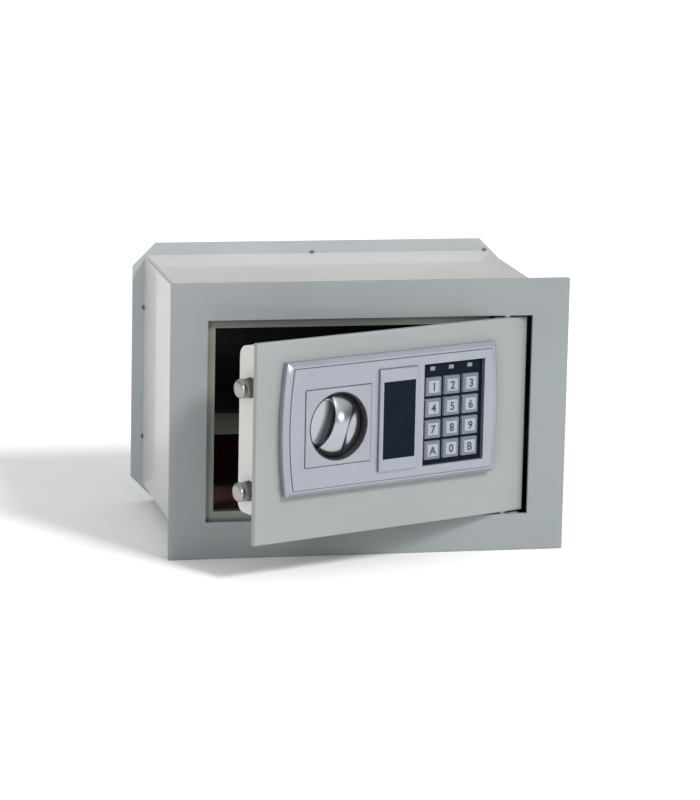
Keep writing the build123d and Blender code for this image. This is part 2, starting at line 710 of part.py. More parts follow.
KEY_NAMES = ("1", "2", "3", "4", "5", "6", "7", "8", "9", "a", "0", "b")


def key_place(index):
    """A key's middle, counted along the rows from the top left."""
    row, column = divmod(index, 3)
    x = KEYPAD_X + KEYS_DX + (column - 1) * KEY_PITCH_X
    return x, PANEL_Z + KEYS_DZ + (1.5 - row) * KEY_PITCH_Z


def lamp_places():
    """The three indicators, above the three columns of keys."""
    return [(key_place(column)[0], PANEL_Z + LAMP_DZ) for column in range(3)]


def keypad_plate():
    """The dark plate at the bottom of the keypad's pocket."""
    y = keypad_face()
    plate = slab(KEYPAD_X, PANEL_Z, KEYPAD_W - 0.4, KEYPAD_H - 0.4, y, y + 1.4)
    for index in range(len(KEY_NAMES)):
        x, z = key_place(index)
        plate -= slab(x, z, KEY_W + 2 * KEY_CLEAR, KEY_H + 2 * KEY_CLEAR, y - 1, y + 2)
    for x, z in lamp_places():
        plate -= slab(x, z, LAMP_W, LAMP_H, y - 1, y + 2)
    return plate


def key(index):
    """One key: a bevelled cap with a raised pad, on a wider foot that keeps it in the plate."""
    x, z = key_place(index)
    y = keypad_face()
    top = y - KEY_RISE
    foot = y + 1.4 + 0.15
    cap = slab(x, z, KEY_W, KEY_H, top, foot)
    cap = chamfer(front_edges(cap, top), 0.8)
    pad = slab(x, z, KEY_PAD_W, KEY_PAD_H, top - KEY_PAD_T, top)
    cap += chamfer(front_edges(pad, top - KEY_PAD_T), 0.4)
    return cap + slab(x, z, KEY_W + 1.6, KEY_H + 1.2, foot, foot + 0.8)


def keypad_mat():
    """The rubber mat behind the keys."""
    y = mat_face()
    return slab(KEYPAD_X, PANEL_Z, KEYPAD_W - 0.4, KEYPAD_H - 0.4, y, y + 0.7)


def mat_face():
    """The front face of the mat, clear of a pressed key."""
    return keypad_face() + 1.4 + 0.15 + 0.8 + KEY_TRAVEL + 0.1


def keypad_board():
    """The keypad's circuit board."""
    y = mat_face() + 0.7
    return slab(KEYPAD_X, PANEL_Z, KEYPAD_W - 0.4, KEYPAD_H - 0.4, y, Y_FRONT - 0.1)


def indicator_lenses():
    """Three small lenses, one for each indicator lamp."""
    y = keypad_face()
    lenses = []
    for x, z in lamp_places():
        lens = slab(x, z, LAMP_W, LAMP_H, y - 0.5, y + 1.4)
        lenses.append(chamfer(front_edges(lens, y - 0.5), 0.4))
    return lenses


def keypad_ribbon():
    """The flat cable from the keypad to the control board, through the door."""
    return slab(KEYPAD_X, PANEL_Z + 9, 14, 1.2, Y_FRONT - 0.1, board_face())


# ---------------------------------------------------------------- centre cover and emergency lock


def centre_cover():
    """The pull-off cover over the emergency lock, with a shallow recess for its dark window."""
    front = PANEL_FACE - COVER_RISE
    back = PANEL_FACE + 5.5
    cover = slab(COVER_X, PANEL_Z, COVER_W, COVER_H, front, back)
    cover = fillet(cover.edges().filter_by(Axis.Y), 1.0)
    cover = chamfer(front_edges(cover, front), 0.7)
    inner_w, inner_h = COVER_W - 2 * COVER_WALL, COVER_H - 2 * COVER_WALL
    cover -= slab(COVER_X, PANEL_Z, inner_w, inner_h, front + COVER_WALL + WINDOW_T, back + 1)
    return cover - slab(COVER_X, PANEL_Z, WINDOW_W, WINDOW_H, front - 1, window_face() + WINDOW_T)


def window_face():
    """The front face of the dark window."""
    return PANEL_FACE - COVER_RISE + WINDOW_SINK


def cover_window():
    """The dark glossy window in the centre cover."""
    y = window_face()
    return slab(COVER_X, PANEL_Z, WINDOW_W - 0.2, WINDOW_H - 0.2, y, y + WINDOW_T)


def lock_axis():
    """The emergency lock's place on the door."""
    return COVER_X, PANEL_Z + LOCK_DZ


def lock_tail():
    """The back end of the emergency lock's housing."""
    return DOOR_BACK + 17


def lock_housing():
    """The emergency lock's housing, through the door."""
    x, z = lock_axis()
    front = Y_FRONT - LOCK_RIM_T
    housing = rod_y(x, z, LOCK_R, front, lock_tail())
    housing += rod_y(x, z, LOCK_R + 1.5, front, Y_FRONT)
    return housing - rod_y(x, z, PLUG_R + PIN_RUN, front - 1, lock_tail() + 1)


def lock_nut():
    """The hexagon nut that holds the emergency lock in the door."""
    x, z = lock_axis()
    plane = Plane(origin=(x, DOOR_BACK, z), x_dir=(1, 0, 0), z_dir=(0, 1, 0))
    nut = extrude(plane * RegularPolygon(LOCK_R + 4, 6, rotation=30), 4)
    return nut - rod_y(x, z, LOCK_R, DOOR_BACK - 1, DOOR_BACK + 5)


def lock_plug():
    """The turning plug of the emergency lock, with its keyway."""
    x, z = lock_axis()
    front = Y_FRONT - LOCK_RIM_T - 0.3
    plug = rod_y(x, z, PLUG_R, front, lock_tail() + 0.4)
    return plug - slab(x, z, 1.8, 7.5, front - 1, front + 12)


def lock_arm():
    """The arm on the plug, turned to where it holds the plunger's pin down."""
    x, z = lock_axis()
    y0 = lock_tail() + 0.4
    arm = rod_y(x, z, 6, y0, y0 + 2) + slab(x, z + LOCK_ARM / 2, 6, LOCK_ARM, y0, y0 + 2)
    return arm.rotate(Axis((x, 0, z), (0, 1, 0)), -LOCK_TURN)


# ---------------------------------------------------------------- solenoid and electronics


def plunger_y():
    """The plunger's axis, in line with the carriage's plate."""
    return WEB_Y + CARRIAGE_T / 2


def solenoid_top():
    """The top of the solenoid's frame."""
    return carriage_foot() - SOLENOID_DROP


def solenoid():
    """The solenoid's frame and coil, behind the door."""
    y = plunger_y()
    top = solenoid_top()
    half = SOLENOID_W / 2
    left, right, back = SOLENOID_X - half, SOLENOID_X + half, y + SOLENOID_D / 2
    frame = block(left, right, DOOR_BACK, back, top - SOLENOID_H, top)
    frame = fillet(frame.edges().filter_by(Axis.X), 1.5)
    return frame - rod_z(SOLENOID_X, y, PLUNGER_R + PIN_RUN, top - SOLENOID_H + 2, top + 1)


def solenoid_plunger():
    """The plunger, drawn in, with its collar and the cross pin that the emergency lock's arm works on."""
    y = plunger_y()
    foot = carriage_foot()
    tip = foot - 1
    bar = rod_z(SOLENOID_X, y, PLUNGER_R, solenoid_top() - SOLENOID_H + 3, tip)
    bar = chamfer(edges_at(bar, Axis.Z, tip), 0.8)
    collar_top = foot - PLUNGER_STROKE - 0.5
    bar += rod_z(SOLENOID_X, y, PLUNGER_R + 2, collar_top - 3, collar_top)
    return bar + rod_y(SOLENOID_X, collar_top - 1.5, 1.0, y + 1, lock_tail() + 2.4)


def plunger_spring():
    """The spring between the solenoid and the plunger's collar, drawn as its rings."""
    low = solenoid_top()
    high = carriage_foot() - PLUNGER_STROKE - 3.5
    count = 3
    wire = 0.45
    step = (high - low - 2 * wire) / (count - 1)
    rings = []
    for i in range(count):
        rings.append(Pos(SOLENOID_X, plunger_y(), low + wire + i * step) * Torus(PLUNGER_R + 1.2, wire))
    return rings


def board_face():
    """The control board's front face."""
    return DOOR_BACK + 4


def board_limits():
    """The control board's edges."""
    return PAN_X1 - 77, PAN_X1 - 11, PANEL_Z - 22, PANEL_Z + 42


def control_board():
    """The control board with its main parts."""
    x0, x1, z0, z1 = board_limits()
    y = board_face()
    board = block(x0, x1, y, y + 1.6, z0, z1)
    board += block(x0 + 8, x0 + 22, y + 1.6, y + 3.6, z0 + 26, z0 + 44)
    board += block(x0 + 34, x0 + 46, y + 1.6, y + 7.0, z1 - 12, z1 - 4)
    for i in range(3):
        board += rod_y(x0 + 12 + 8 * i, z1 - 8, 2.5, y + 1.6, y + 8)
    return board


def board_spacers():
    """Four spacers under the control board."""
    x0, x1, z0, z1 = board_limits()
    y = board_face()
    places = [(x, z) for x in (x0 + 6, x1 - 6) for z in (z0 + 6, z1 - 6)]
    return [rod_y(x, z, 2.5, DOOR_BACK, y) for x, z in places]


def box_size():
    """The battery box's outer width and height."""
    return CELL_COUNT * CELL_PITCH + 2 * BOX_WALL + 0.6, CELL_L + 2 * BOX_WALL + 3


def battery_box():
    """The battery box, open at the pan's back."""
    width, height = box_size()
    floor = PAN_BACK - 2 * CELL_R - 4
    box = slab(BOX_X, BOX_Z, width, height, floor, PAN_BACK)
    inner_w, inner_h = width - 2 * BOX_WALL, height - 2 * BOX_WALL
    return box - slab(BOX_X, BOX_Z, inner_w, inner_h, floor + BOX_WALL, PAN_BACK + 1)


def batteries():
    """Four AA cells side by side, with their contact ends."""
    y = PAN_BACK - CELL_R - 1.6
    cells = []
    for i in range(CELL_COUNT):
        x = BOX_X + (i - (CELL_COUNT - 1) / 2) * CELL_PITCH
        up = 1 if i % 2 else -1
        cell = rod_z(x, y, CELL_R, BOX_Z - CELL_L / 2, BOX_Z + CELL_L / 2 - 1)
        cell = fillet(cell.edges().filter_by(GeomType.CIRCLE), 0.6)
        cell += rod_z(x, y, 2.75, BOX_Z + CELL_L / 2 - 1.5, BOX_Z + CELL_L / 2)
        cells.append(cell if up > 0 else cell.rotate(Axis((x, y, BOX_Z), (0, 1, 0)), 180))
    return cells


def battery_cover():
    """The cover that slides off the battery box."""
    width, height = box_size()
    y = PAN_BACK + 0.3
    cover = slab(BOX_X, BOX_Z, width + 5, height + 5, y, y + 2.2)
    cover = fillet(cover.edges().filter_by(Axis.Y), 3)
    cover = chamfer(front_edges(cover, y + 2.2), 0.6)
    for i in range(5):
        z = BOX_Z + height / 2 - 4 - 2.6 * i
        cover -= slab(BOX_X, z, 24, 1.1, y + 1.5, y + 3)
    return cover


def button_place():
    """The code-setting button's place on the pan's back."""
    return BOX_X - 50, PANEL_Z - 46


def reset_button():
    """The code-setting button, with the shoulder that keeps it in the pan."""
    x, z = button_place()
    inside = PAN_BACK - PAN_SHEET
    button = rod_y(x, z, 4, inside - 6, PAN_BACK + 1.5)
    button = fillet(edges_at(button, Axis.Y, PAN_BACK + 1.5), 0.8)
    return button + rod_y(x, z, 5.5, inside - 1.7, inside - 0.2)


def reset_switch():
    """The switch under the code-setting button, on its post."""
    x, z = button_place()
    top = PAN_BACK - PAN_SHEET - 6 - 1.6
    return slab(x, z, 12, 12, top - 5, top) + slab(x, z, 5, 5, DOOR_BACK, top - 5)


# ---------------------------------------------------------------- all the nodes

BODY_NODES = {
    "front_flange": front_flange,
    "door_stop_frame": door_stop_frame,
    "body_shell": body_shell,
    "rear_plate": rear_plate,
    "seam_welds": seam_welds,
    "hinge_brackets": hinge_brackets,
    "shelf": shelf,
    "shelf_rails": shelf_rails,
    "floor_mat": floor_mat,
}

DOOR_NODES = {
    "door_plate": door_plate,
    "hinge_blocks": hinge_blocks,
    "hinge_pins": hinge_pins,
    "door_pan": door_pan,
    "pan_pillars": pan_pillars,
    "pan_screws": pan_screws,
    "bolt_guide": bolt_guide,
    "locking_bolts": locking_bolts,
    "bolt_carriage": bolt_carriage,
    "bolt_screws": bolt_screws,
    "lock_panel": lock_panel,
    "panel_screws": panel_screws,
    "knob_well": knob_well,
    "knob": knob,
    "spindle": spindle,
    "crank": crank,
    "spindle_clip": spindle_clip,
    "spindle_bush": spindle_bush,
    "keypad_plate": keypad_plate,
    "keypad_mat": keypad_mat,
    "keypad_board": keypad_board,
    "keypad_ribbon": keypad_ribbon,
    "indicator_lenses": indicator_lenses,
    "centre_cover": centre_cover,
    "cover_window": cover_window,
    "lock_housing": lock_housing,
    "lock_nut": lock_nut,
    "lock_plug": lock_plug,
    "lock_arm": lock_arm,
    "solenoid": solenoid,
    "solenoid_plunger": solenoid_plunger,
    "plunger_spring": plunger_spring,
    "control_board": control_board,
    "board_spacers": board_spacers,
    "battery_box": battery_box,
    "batteries": batteries,
    "battery_cover": battery_cover,
    "reset_button": reset_button,
    "reset_switch": reset_switch,
}
for index, label in enumerate(KEY_NAMES):
    DOOR_NODES[f"key_{label}"] = lambda index=index: key(index)


def pieces_of(made):
    """A node's solids as a list."""
    return list(made) if isinstance(made, (list, tuple)) else [made]


def write(name, pieces):
    """Writes a node: one solid as it is, and several as a group."""
    shape = pieces[0] if len(pieces) == 1 else Compound(children=pieces)
    export_step(shape, f"parts/{name}.step")


def main():
    os.makedirs("parts", exist_ok=True)
    for name, make in BODY_NODES.items():
        write(name, pieces_of(make()))
    for name, make in DOOR_NODES.items():
        write(name, [on_door(piece) for piece in pieces_of(make())])


main()
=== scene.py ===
"""Looks of an electronic wall safe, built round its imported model.

Sizes are in metres. Pieces of the door are worked out on the shut door and then swung to the angle at
which it rests.
"""

from __future__ import annotations

import json
import logging
import math
from dataclasses import dataclass, field
from enum import Enum
from typing import Any, Sequence

import bpy
import numpy as np
from mathutils import Matrix, Vector


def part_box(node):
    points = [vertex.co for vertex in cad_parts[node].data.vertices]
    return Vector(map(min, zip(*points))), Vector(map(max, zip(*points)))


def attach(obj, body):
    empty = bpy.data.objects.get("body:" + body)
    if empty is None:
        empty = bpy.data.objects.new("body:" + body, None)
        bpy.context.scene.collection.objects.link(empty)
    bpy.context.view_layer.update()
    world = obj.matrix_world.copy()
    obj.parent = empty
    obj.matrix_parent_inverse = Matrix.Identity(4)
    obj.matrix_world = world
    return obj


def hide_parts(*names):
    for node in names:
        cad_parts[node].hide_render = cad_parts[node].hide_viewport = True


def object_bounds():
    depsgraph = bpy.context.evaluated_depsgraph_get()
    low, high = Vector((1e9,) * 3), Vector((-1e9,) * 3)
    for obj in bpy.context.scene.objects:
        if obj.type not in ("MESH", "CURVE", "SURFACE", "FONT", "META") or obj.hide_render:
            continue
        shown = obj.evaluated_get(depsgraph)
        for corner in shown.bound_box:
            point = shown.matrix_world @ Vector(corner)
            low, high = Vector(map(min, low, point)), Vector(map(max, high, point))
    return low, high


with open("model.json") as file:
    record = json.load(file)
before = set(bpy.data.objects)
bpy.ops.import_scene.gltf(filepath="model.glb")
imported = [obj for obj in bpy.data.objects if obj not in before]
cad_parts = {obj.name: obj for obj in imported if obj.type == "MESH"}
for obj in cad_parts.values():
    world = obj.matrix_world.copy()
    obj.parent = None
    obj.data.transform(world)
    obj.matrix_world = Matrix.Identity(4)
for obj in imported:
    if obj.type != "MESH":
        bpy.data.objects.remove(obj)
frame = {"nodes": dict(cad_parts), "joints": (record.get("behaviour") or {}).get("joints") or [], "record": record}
CAD_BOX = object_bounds()

LOG = logging.getLogger("wall_safe")
MM = 0.001
Colour = tuple[float, float, float]
Triple = tuple[float, float, float]


# ---------------------------------------------------------------- shader expressions


class Maths(Enum):
    """The Math node's operations that the finishes use."""

    ADD = "ADD"
    MULTIPLY = "MULTIPLY"
    ABSOLUTE = "ABSOLUTE"
    LESS_THAN = "LESS_THAN"
    GREATER_THAN = "GREATER_THAN"


class Value:
    """A number that varies over a surface, as a shader socket with Python's operators."""

    def __init__(self, shade: "Shade", socket: bpy.types.NodeSocket) -> None:
        """Wraps a socket of one material."""
        self.shade = shade
        self.socket = socket

    def _made(self, kind: Maths, first: Any, second: Any = 0.0) -> "Value":
        """One Math node on two values."""
        return self.shade.maths(kind, first, second)

    def __add__(self, other: Any) -> "Value":
        """Sum."""
        return self._made(Maths.ADD, self, other)

    __radd__ = __add__

    def __mul__(self, other: Any) -> "Value":
        """Product."""
        return self._made(Maths.MULTIPLY, self, other)

    __rmul__ = __mul__

    def __lt__(self, other: Any) -> "Value":
        """1 where this is the smaller."""
        return self._made(Maths.LESS_THAN, self, other)

    def __gt__(self, other: Any) -> "Value":
        """1 where this is the larger."""
        return self._made(Maths.GREATER_THAN, self, other)

    def __abs__(self) -> "Value":
        """Size without sign."""
        return self._made(Maths.ABSOLUTE, self)


class Shade:
    """One procedural material, made of expressions and nodes."""

    def __init__(self, name: str) -> None:
        """Starts an empty material with its main shader."""
        self.material = bpy.data.materials.new(name)
        self.material.use_nodes = True
        self.tree = self.material.node_tree
        self.tree.nodes.clear()
        output = self.tree.nodes.new("ShaderNodeOutputMaterial")
        self.main = self.tree.nodes.new("ShaderNodeBsdfPrincipled")
        self.tree.links.new(self.main.outputs[0], output.inputs[0])

    def node(self, kind: str, settings: dict[str, Any] | None = None, **sockets: Any) -> bpy.types.Node:
        """Adds a node.

        Args:
            kind: The node's type name.
            settings: Properties to set before the sockets. A ramp's stops are a list of (place, colour).
            sockets: Socket names, with _ for a space, and their values or links.

        Returns:
            The new node.
        """
        made = self.tree.nodes.new(kind)
        for key, value in (settings or {}).items():
            if key == "stops":
                while len(made.color_ramp.elements) < len(value):
                    made.color_ramp.elements.new(0.5)
                for element, (place, colour) in zip(made.color_ramp.elements, value):
                    element.position, element.color = place, (*colour, 1.0)
            else:
                setattr(made, key, value)
        for name, value in sockets.items():
            self.feed(made.inputs[name.replace("_", " ")], value)
        return made

    def feed(self, socket: bpy.types.NodeSocket, value: Any) -> None:
        """Links a value to a socket, or sets it if it is a constant."""
        if isinstance(value, Value):
            self.tree.links.new(value.socket, socket)
        elif isinstance(value, bpy.types.NodeSocket):
            self.tree.links.new(value, socket)
        elif isinstance(value, tuple) and socket.type == "RGBA":
            socket.default_value = (*value, 1.0)
        else:
            socket.default_value = value

    def maths(self, kind: Maths, first: Any, second: Any) -> Value:
        """One Math node."""
        made = self.node("ShaderNodeMath", {"operation": kind.value})
        self.feed(made.inputs[0], first)
        self.feed(made.inputs[1], second)
        return Value(self, made.outputs[0])

    def place(self) -> bpy.types.NodeSocket:
        """Object coordinates, which are the part's own frame."""
        return self.node("ShaderNodeTexCoord").outputs["Object"]

    def axes(self) -> tuple[Value, Value, Value]:
        """Object coordinates as three values."""
        split = self.node("ShaderNodeSeparateXYZ", Vector=self.place())
        return tuple(Value(self, out) for out in split.outputs)

    def noise(self, scale: float, detail: float = 3.0, stretch: Triple = (1.0, 1.0, 1.0)) -> Value:
        """Noise from 0 to 1.

        Args:
            scale: Waves per metre.
            detail: Octaves.
            stretch: Scale along each axis.

        Returns:
            The noise's value.
        """
        mapped = self.node("ShaderNodeMapping", Vector=self.place(), Scale=stretch)
        made = self.node("ShaderNodeTexNoise", Vector=mapped.outputs[0], Scale=scale, Detail=detail)
        return Value(self, made.outputs[0])

    def ramp(self, value: Value, stops: Sequence[tuple[float, Colour]]) -> bpy.types.NodeSocket:
        """A colour looked up from a value."""
        made = self.node("ShaderNodeValToRGB", {"stops": list(stops)}, Fac=value)
        return made.outputs[0]

    def mix(self, share: Any, first: Any, second: Any) -> bpy.types.NodeSocket:
        """A colour between two, by share."""
        made = self.node("ShaderNodeMix", {"data_type": "RGBA"})
        self.feed(made.inputs[0], share)
        self.feed(made.inputs[6], first)
        self.feed(made.inputs[7], second)
        return made.outputs[2]

    def bump(self, height: Value, strength: float, distance: float) -> bpy.types.NodeSocket:
        """A normal from a height."""
        made = self.node("ShaderNodeBump", Strength=strength, Distance=distance, Height=height)
        return made.outputs[0]

    def surface(self, **sockets: Any) -> bpy.types.Material:
        """Sets the main shader's sockets and gives the material."""
        for name, value in sockets.items():
            self.feed(self.main.inputs[name.replace("_", " ")], value)
        return self.material


# ---------------------------------------------------------------- finishes


def shaded(colour: Colour, factor: float) -> Colour:
    """A colour made darker or lighter."""
    return tuple(min(1.0, c * factor) for c in colour)


@dataclass(frozen=True)
class Enamel:
    """Stoved enamel on sheet steel: faint orange peel, cloudy tone and a thin clear gloss."""

    name: str
    colour: Colour
    roughness: float = 0.34
    peel: float = 0.10
    inside: Colour | None = None
    hollow: Triple = (0.0, 0.0, 0.0)
    cloud_scale: float = 9.0
    speck_scale: float = 420.0
    peel_depth: float = 0.12 * MM

    def make(self) -> bpy.types.Material:
        """Builds the material.

        Within the hollow's half width, depth and half height it takes the inside colour: near black, a painted
        shade for the unlit hollow of the box.
        """
        s = Shade(self.name)
        cloud = s.noise(self.cloud_scale, 2.0)
        colour = s.ramp(cloud, [(0.35, shaded(self.colour, 0.965)), (0.65, shaded(self.colour, 1.03))])
        specks = s.noise(self.speck_scale, 1.0)
        if self.inside is not None:
            x, y, z = s.axes()
            half_w, depth, half_h = self.hollow
            # Inside the hollow the colour turns near black: painted shade.
            within = (abs(x) < half_w) * (abs(z) < half_h) * (y < depth)
            hollow_painted_shade = s.ramp(cloud, [(0.3, shaded(self.inside, 0.8)), (0.7, shaded(self.inside, 1.25))])
            colour = s.mix(within, colour, hollow_painted_shade)
        return s.surface(
            Base_Color=colour,
            Roughness=self.roughness + 0.08 * specks + 0.05 * cloud,
            Specular_IOR_Level=0.5,
            Coat_Weight=0.35,
            Coat_Roughness=0.06,
            Normal=s.bump(specks, self.peel, self.peel_depth),
        )


@dataclass(frozen=True)
class SilverPaint:
    """Metallic silver paint on moulded plastic, with fine flakes."""

    name: str = "silver_paint"
    colour: Colour = (0.33, 0.345, 0.395)
    flake_scale: float = 2600.0
    cloud_scale: float = 30.0
    flake_depth: float = 0.04 * MM

    def make(self) -> bpy.types.Material:
        """Builds the material."""
        s = Shade(self.name)
        flake = s.noise(self.flake_scale, 2.0)
        cloud = s.noise(self.cloud_scale, 2.0)
        tone = flake * 0.8 + cloud * 0.2
        colour = s.ramp(tone, [(0.3, shaded(self.colour, 0.88)), (0.7, shaded(self.colour, 1.12))])
        return s.surface(
            Base_Color=colour,
            Metallic=0.6 + 0.25 * flake,
            Roughness=0.29 + 0.1 * cloud,
            Coat_Weight=0.15,
            Coat_Roughness=0.12,
            Normal=s.bump(flake, 0.08, self.flake_depth),
        )


@dataclass(frozen=True)
class Metal:
    """Bare metal, with turning or rolling marks drawn out along one direction."""

    name: str
    colour: Colour
    roughness: float
    marks: Triple = (1.0, 1.0, 1.0)
    wear: float = 0.06
    mark_scale: float = 160.0
    cloud_scale: float = 45.0
    mark_depth: float = 0.03 * MM

    def make(self) -> bpy.types.Material:
        """Builds the material."""
        s = Shade(self.name)
        marks = s.noise(self.mark_scale, 4.0, self.marks)
        cloud = s.noise(self.cloud_scale, 3.0)
        colour = s.ramp(cloud, [(0.3, shaded(self.colour, 1 - self.wear)), (0.7, shaded(self.colour, 1.02))])
        return s.surface(
            Base_Color=colour,
            Metallic=1.0,
            Roughness=self.roughness + self.wear * marks + 0.5 * self.wear * cloud,
            Normal=s.bump(marks, 0.5 * self.wear, self.mark_depth),
        )


@dataclass(frozen=True)
class SatinChrome:
    """Satin chrome plating, with a painted dark reflection on the steep flank of the finger scoop."""

    name: str = "chrome"
    colour: Colour = (0.44, 0.46, 0.50)
    # Painted dark reflection: near black, standing in for the dim room that the steep flank reflects.
    painted_dark_reflection: Colour = (0.03, 0.031, 0.035)
    brush_scale: float = 220.0
    cloud_scale: float = 70.0
    brush_depth: float = 0.02 * MM

    def make(self) -> bpy.types.Material:
        """Builds the material. The share of painted dark reflection on the flank is read from the piece's own
        attribute.
        """
        s = Shade(self.name)
        flank = Value(s, s.node("ShaderNodeAttribute", {"attribute_name": "flank"}).outputs["Fac"])
        brushed = s.noise(self.brush_scale, 4.0, (1.0, 1.0, 0.2))
        cloud = s.noise(self.cloud_scale, 3.0)
        bright = s.ramp(cloud, [(0.3, shaded(self.colour, 0.94)), (0.7, shaded(self.colour, 1.04))])
        return s.surface(
            # The flank's colour is mixed towards the painted dark reflection.
            Base_Color=s.mix(flank, bright, self.painted_dark_reflection),
            Metallic=1.0,
            Roughness=0.2 + 0.06 * brushed + 0.2 * flank,
            Normal=s.bump(brushed, 0.03, self.brush_depth),
        )


@dataclass(frozen=True)
class Plastic:
    """Moulded plastic with a fine spark-eroded grain."""

    name: str
    colour: Colour
    roughness: float = 0.45
    grain: float = 0.12
    coat: float = 0.0
    gloss: float = 0.5
    grain_scale: float = 1500.0
    cloud_scale: float = 35.0
    grain_depth: float = 0.03 * MM

    def make(self) -> bpy.types.Material:
        """Builds the material."""
        s = Shade(self.name)
        grain = s.noise(self.grain_scale, 3.0)
        cloud = s.noise(self.cloud_scale, 2.0)
        colour = s.ramp(cloud, [(0.3, shaded(self.colour, 0.93)), (0.7, shaded(self.colour, 1.06))])
        return s.surface(
            Base_Color=colour,
            Roughness=self.roughness + 0.08 * grain + 0.04 * cloud,
            Specular_IOR_Level=self.gloss,
            Coat_Weight=self.coat,
            Coat_Roughness=0.05,
            Normal=s.bump(grain, self.grain, self.grain_depth),
        )


@dataclass(frozen=True)
class Felt:
    """Short-pile felt: mottled fibres in two directions with a soft sheen."""

    name: str = "red_felt"
    colour: Colour = (0.16, 0.018, 0.035)
    fibre_scale: float = 900.0
    drawn_out: float = 0.35
    pile_depth: float = 0.6 * MM

    def make(self) -> bpy.types.Material:
        """Builds the material."""
        s = Shade(self.name)
        one_way = s.noise(self.fibre_scale, 4.0, (1.0, self.drawn_out, 1.0))
        other_way = s.noise(self.fibre_scale, 4.0, (self.drawn_out, 1.0, 1.0))
        pile = one_way * 0.5 + other_way * 0.5
        colour = s.ramp(pile, [(0.35, shaded(self.colour, 0.5)), (0.65, shaded(self.colour, 1.5))])
        return s.surface(
            Base_Color=colour,
            Roughness=0.9 + 0.1 * pile,
            Sheen_Weight=0.25,
            Sheen_Roughness=0.5,
            Normal=s.bump(pile, 0.7, self.pile_depth),
        )


@dataclass(frozen=True)
class CircuitBoard:
    """Green solder mask with a ruled pattern of copper tracks."""

    name: str = "circuit_board"
    colour: Colour = (0.02, 0.13, 0.05)
    track: Colour = (0.05, 0.24, 0.09)

    def make(self) -> bpy.types.Material:
        """Builds the material."""
        s = Shade(self.name)
        lanes = s.noise(260.0, 0.0, (0.12, 0.12, 1.0))
        on_track = (lanes > 0.47) * (lanes < 0.53)
        return s.surface(
            Base_Color=s.mix(on_track, self.colour, self.track),
            Roughness=0.35 + 0.1 * on_track,
            Coat_Weight=0.4,
            Normal=s.bump(on_track, 0.3, 0.00005),
        )


@dataclass(frozen=True)
class CellWrap:
    """A battery's printed sleeve: a dark body with a copper-coloured band at one end."""

    name: str = "cell_wrap"
    body: Colour = (0.02, 0.02, 0.022)
    band: Colour = (0.45, 0.2, 0.06)
    middle_z: float = 0.0
    band_above: float = 0.009

    def make(self) -> bpy.types.Material:
        """Builds the material, with the band at one end of the cells, counted from their middle."""
        s = Shade(self.name)
        _, _, z = s.axes()
        banded = z > self.middle_z + self.band_above
        scuff = s.noise(300.0, 3.0)
        return s.surface(
            Base_Color=s.mix(banded, self.body, self.band),
            Metallic=0.3 * banded,
            Roughness=0.28 + 0.15 * scuff,
            Normal=s.bump(scuff, 0.05, 0.00003),
        )


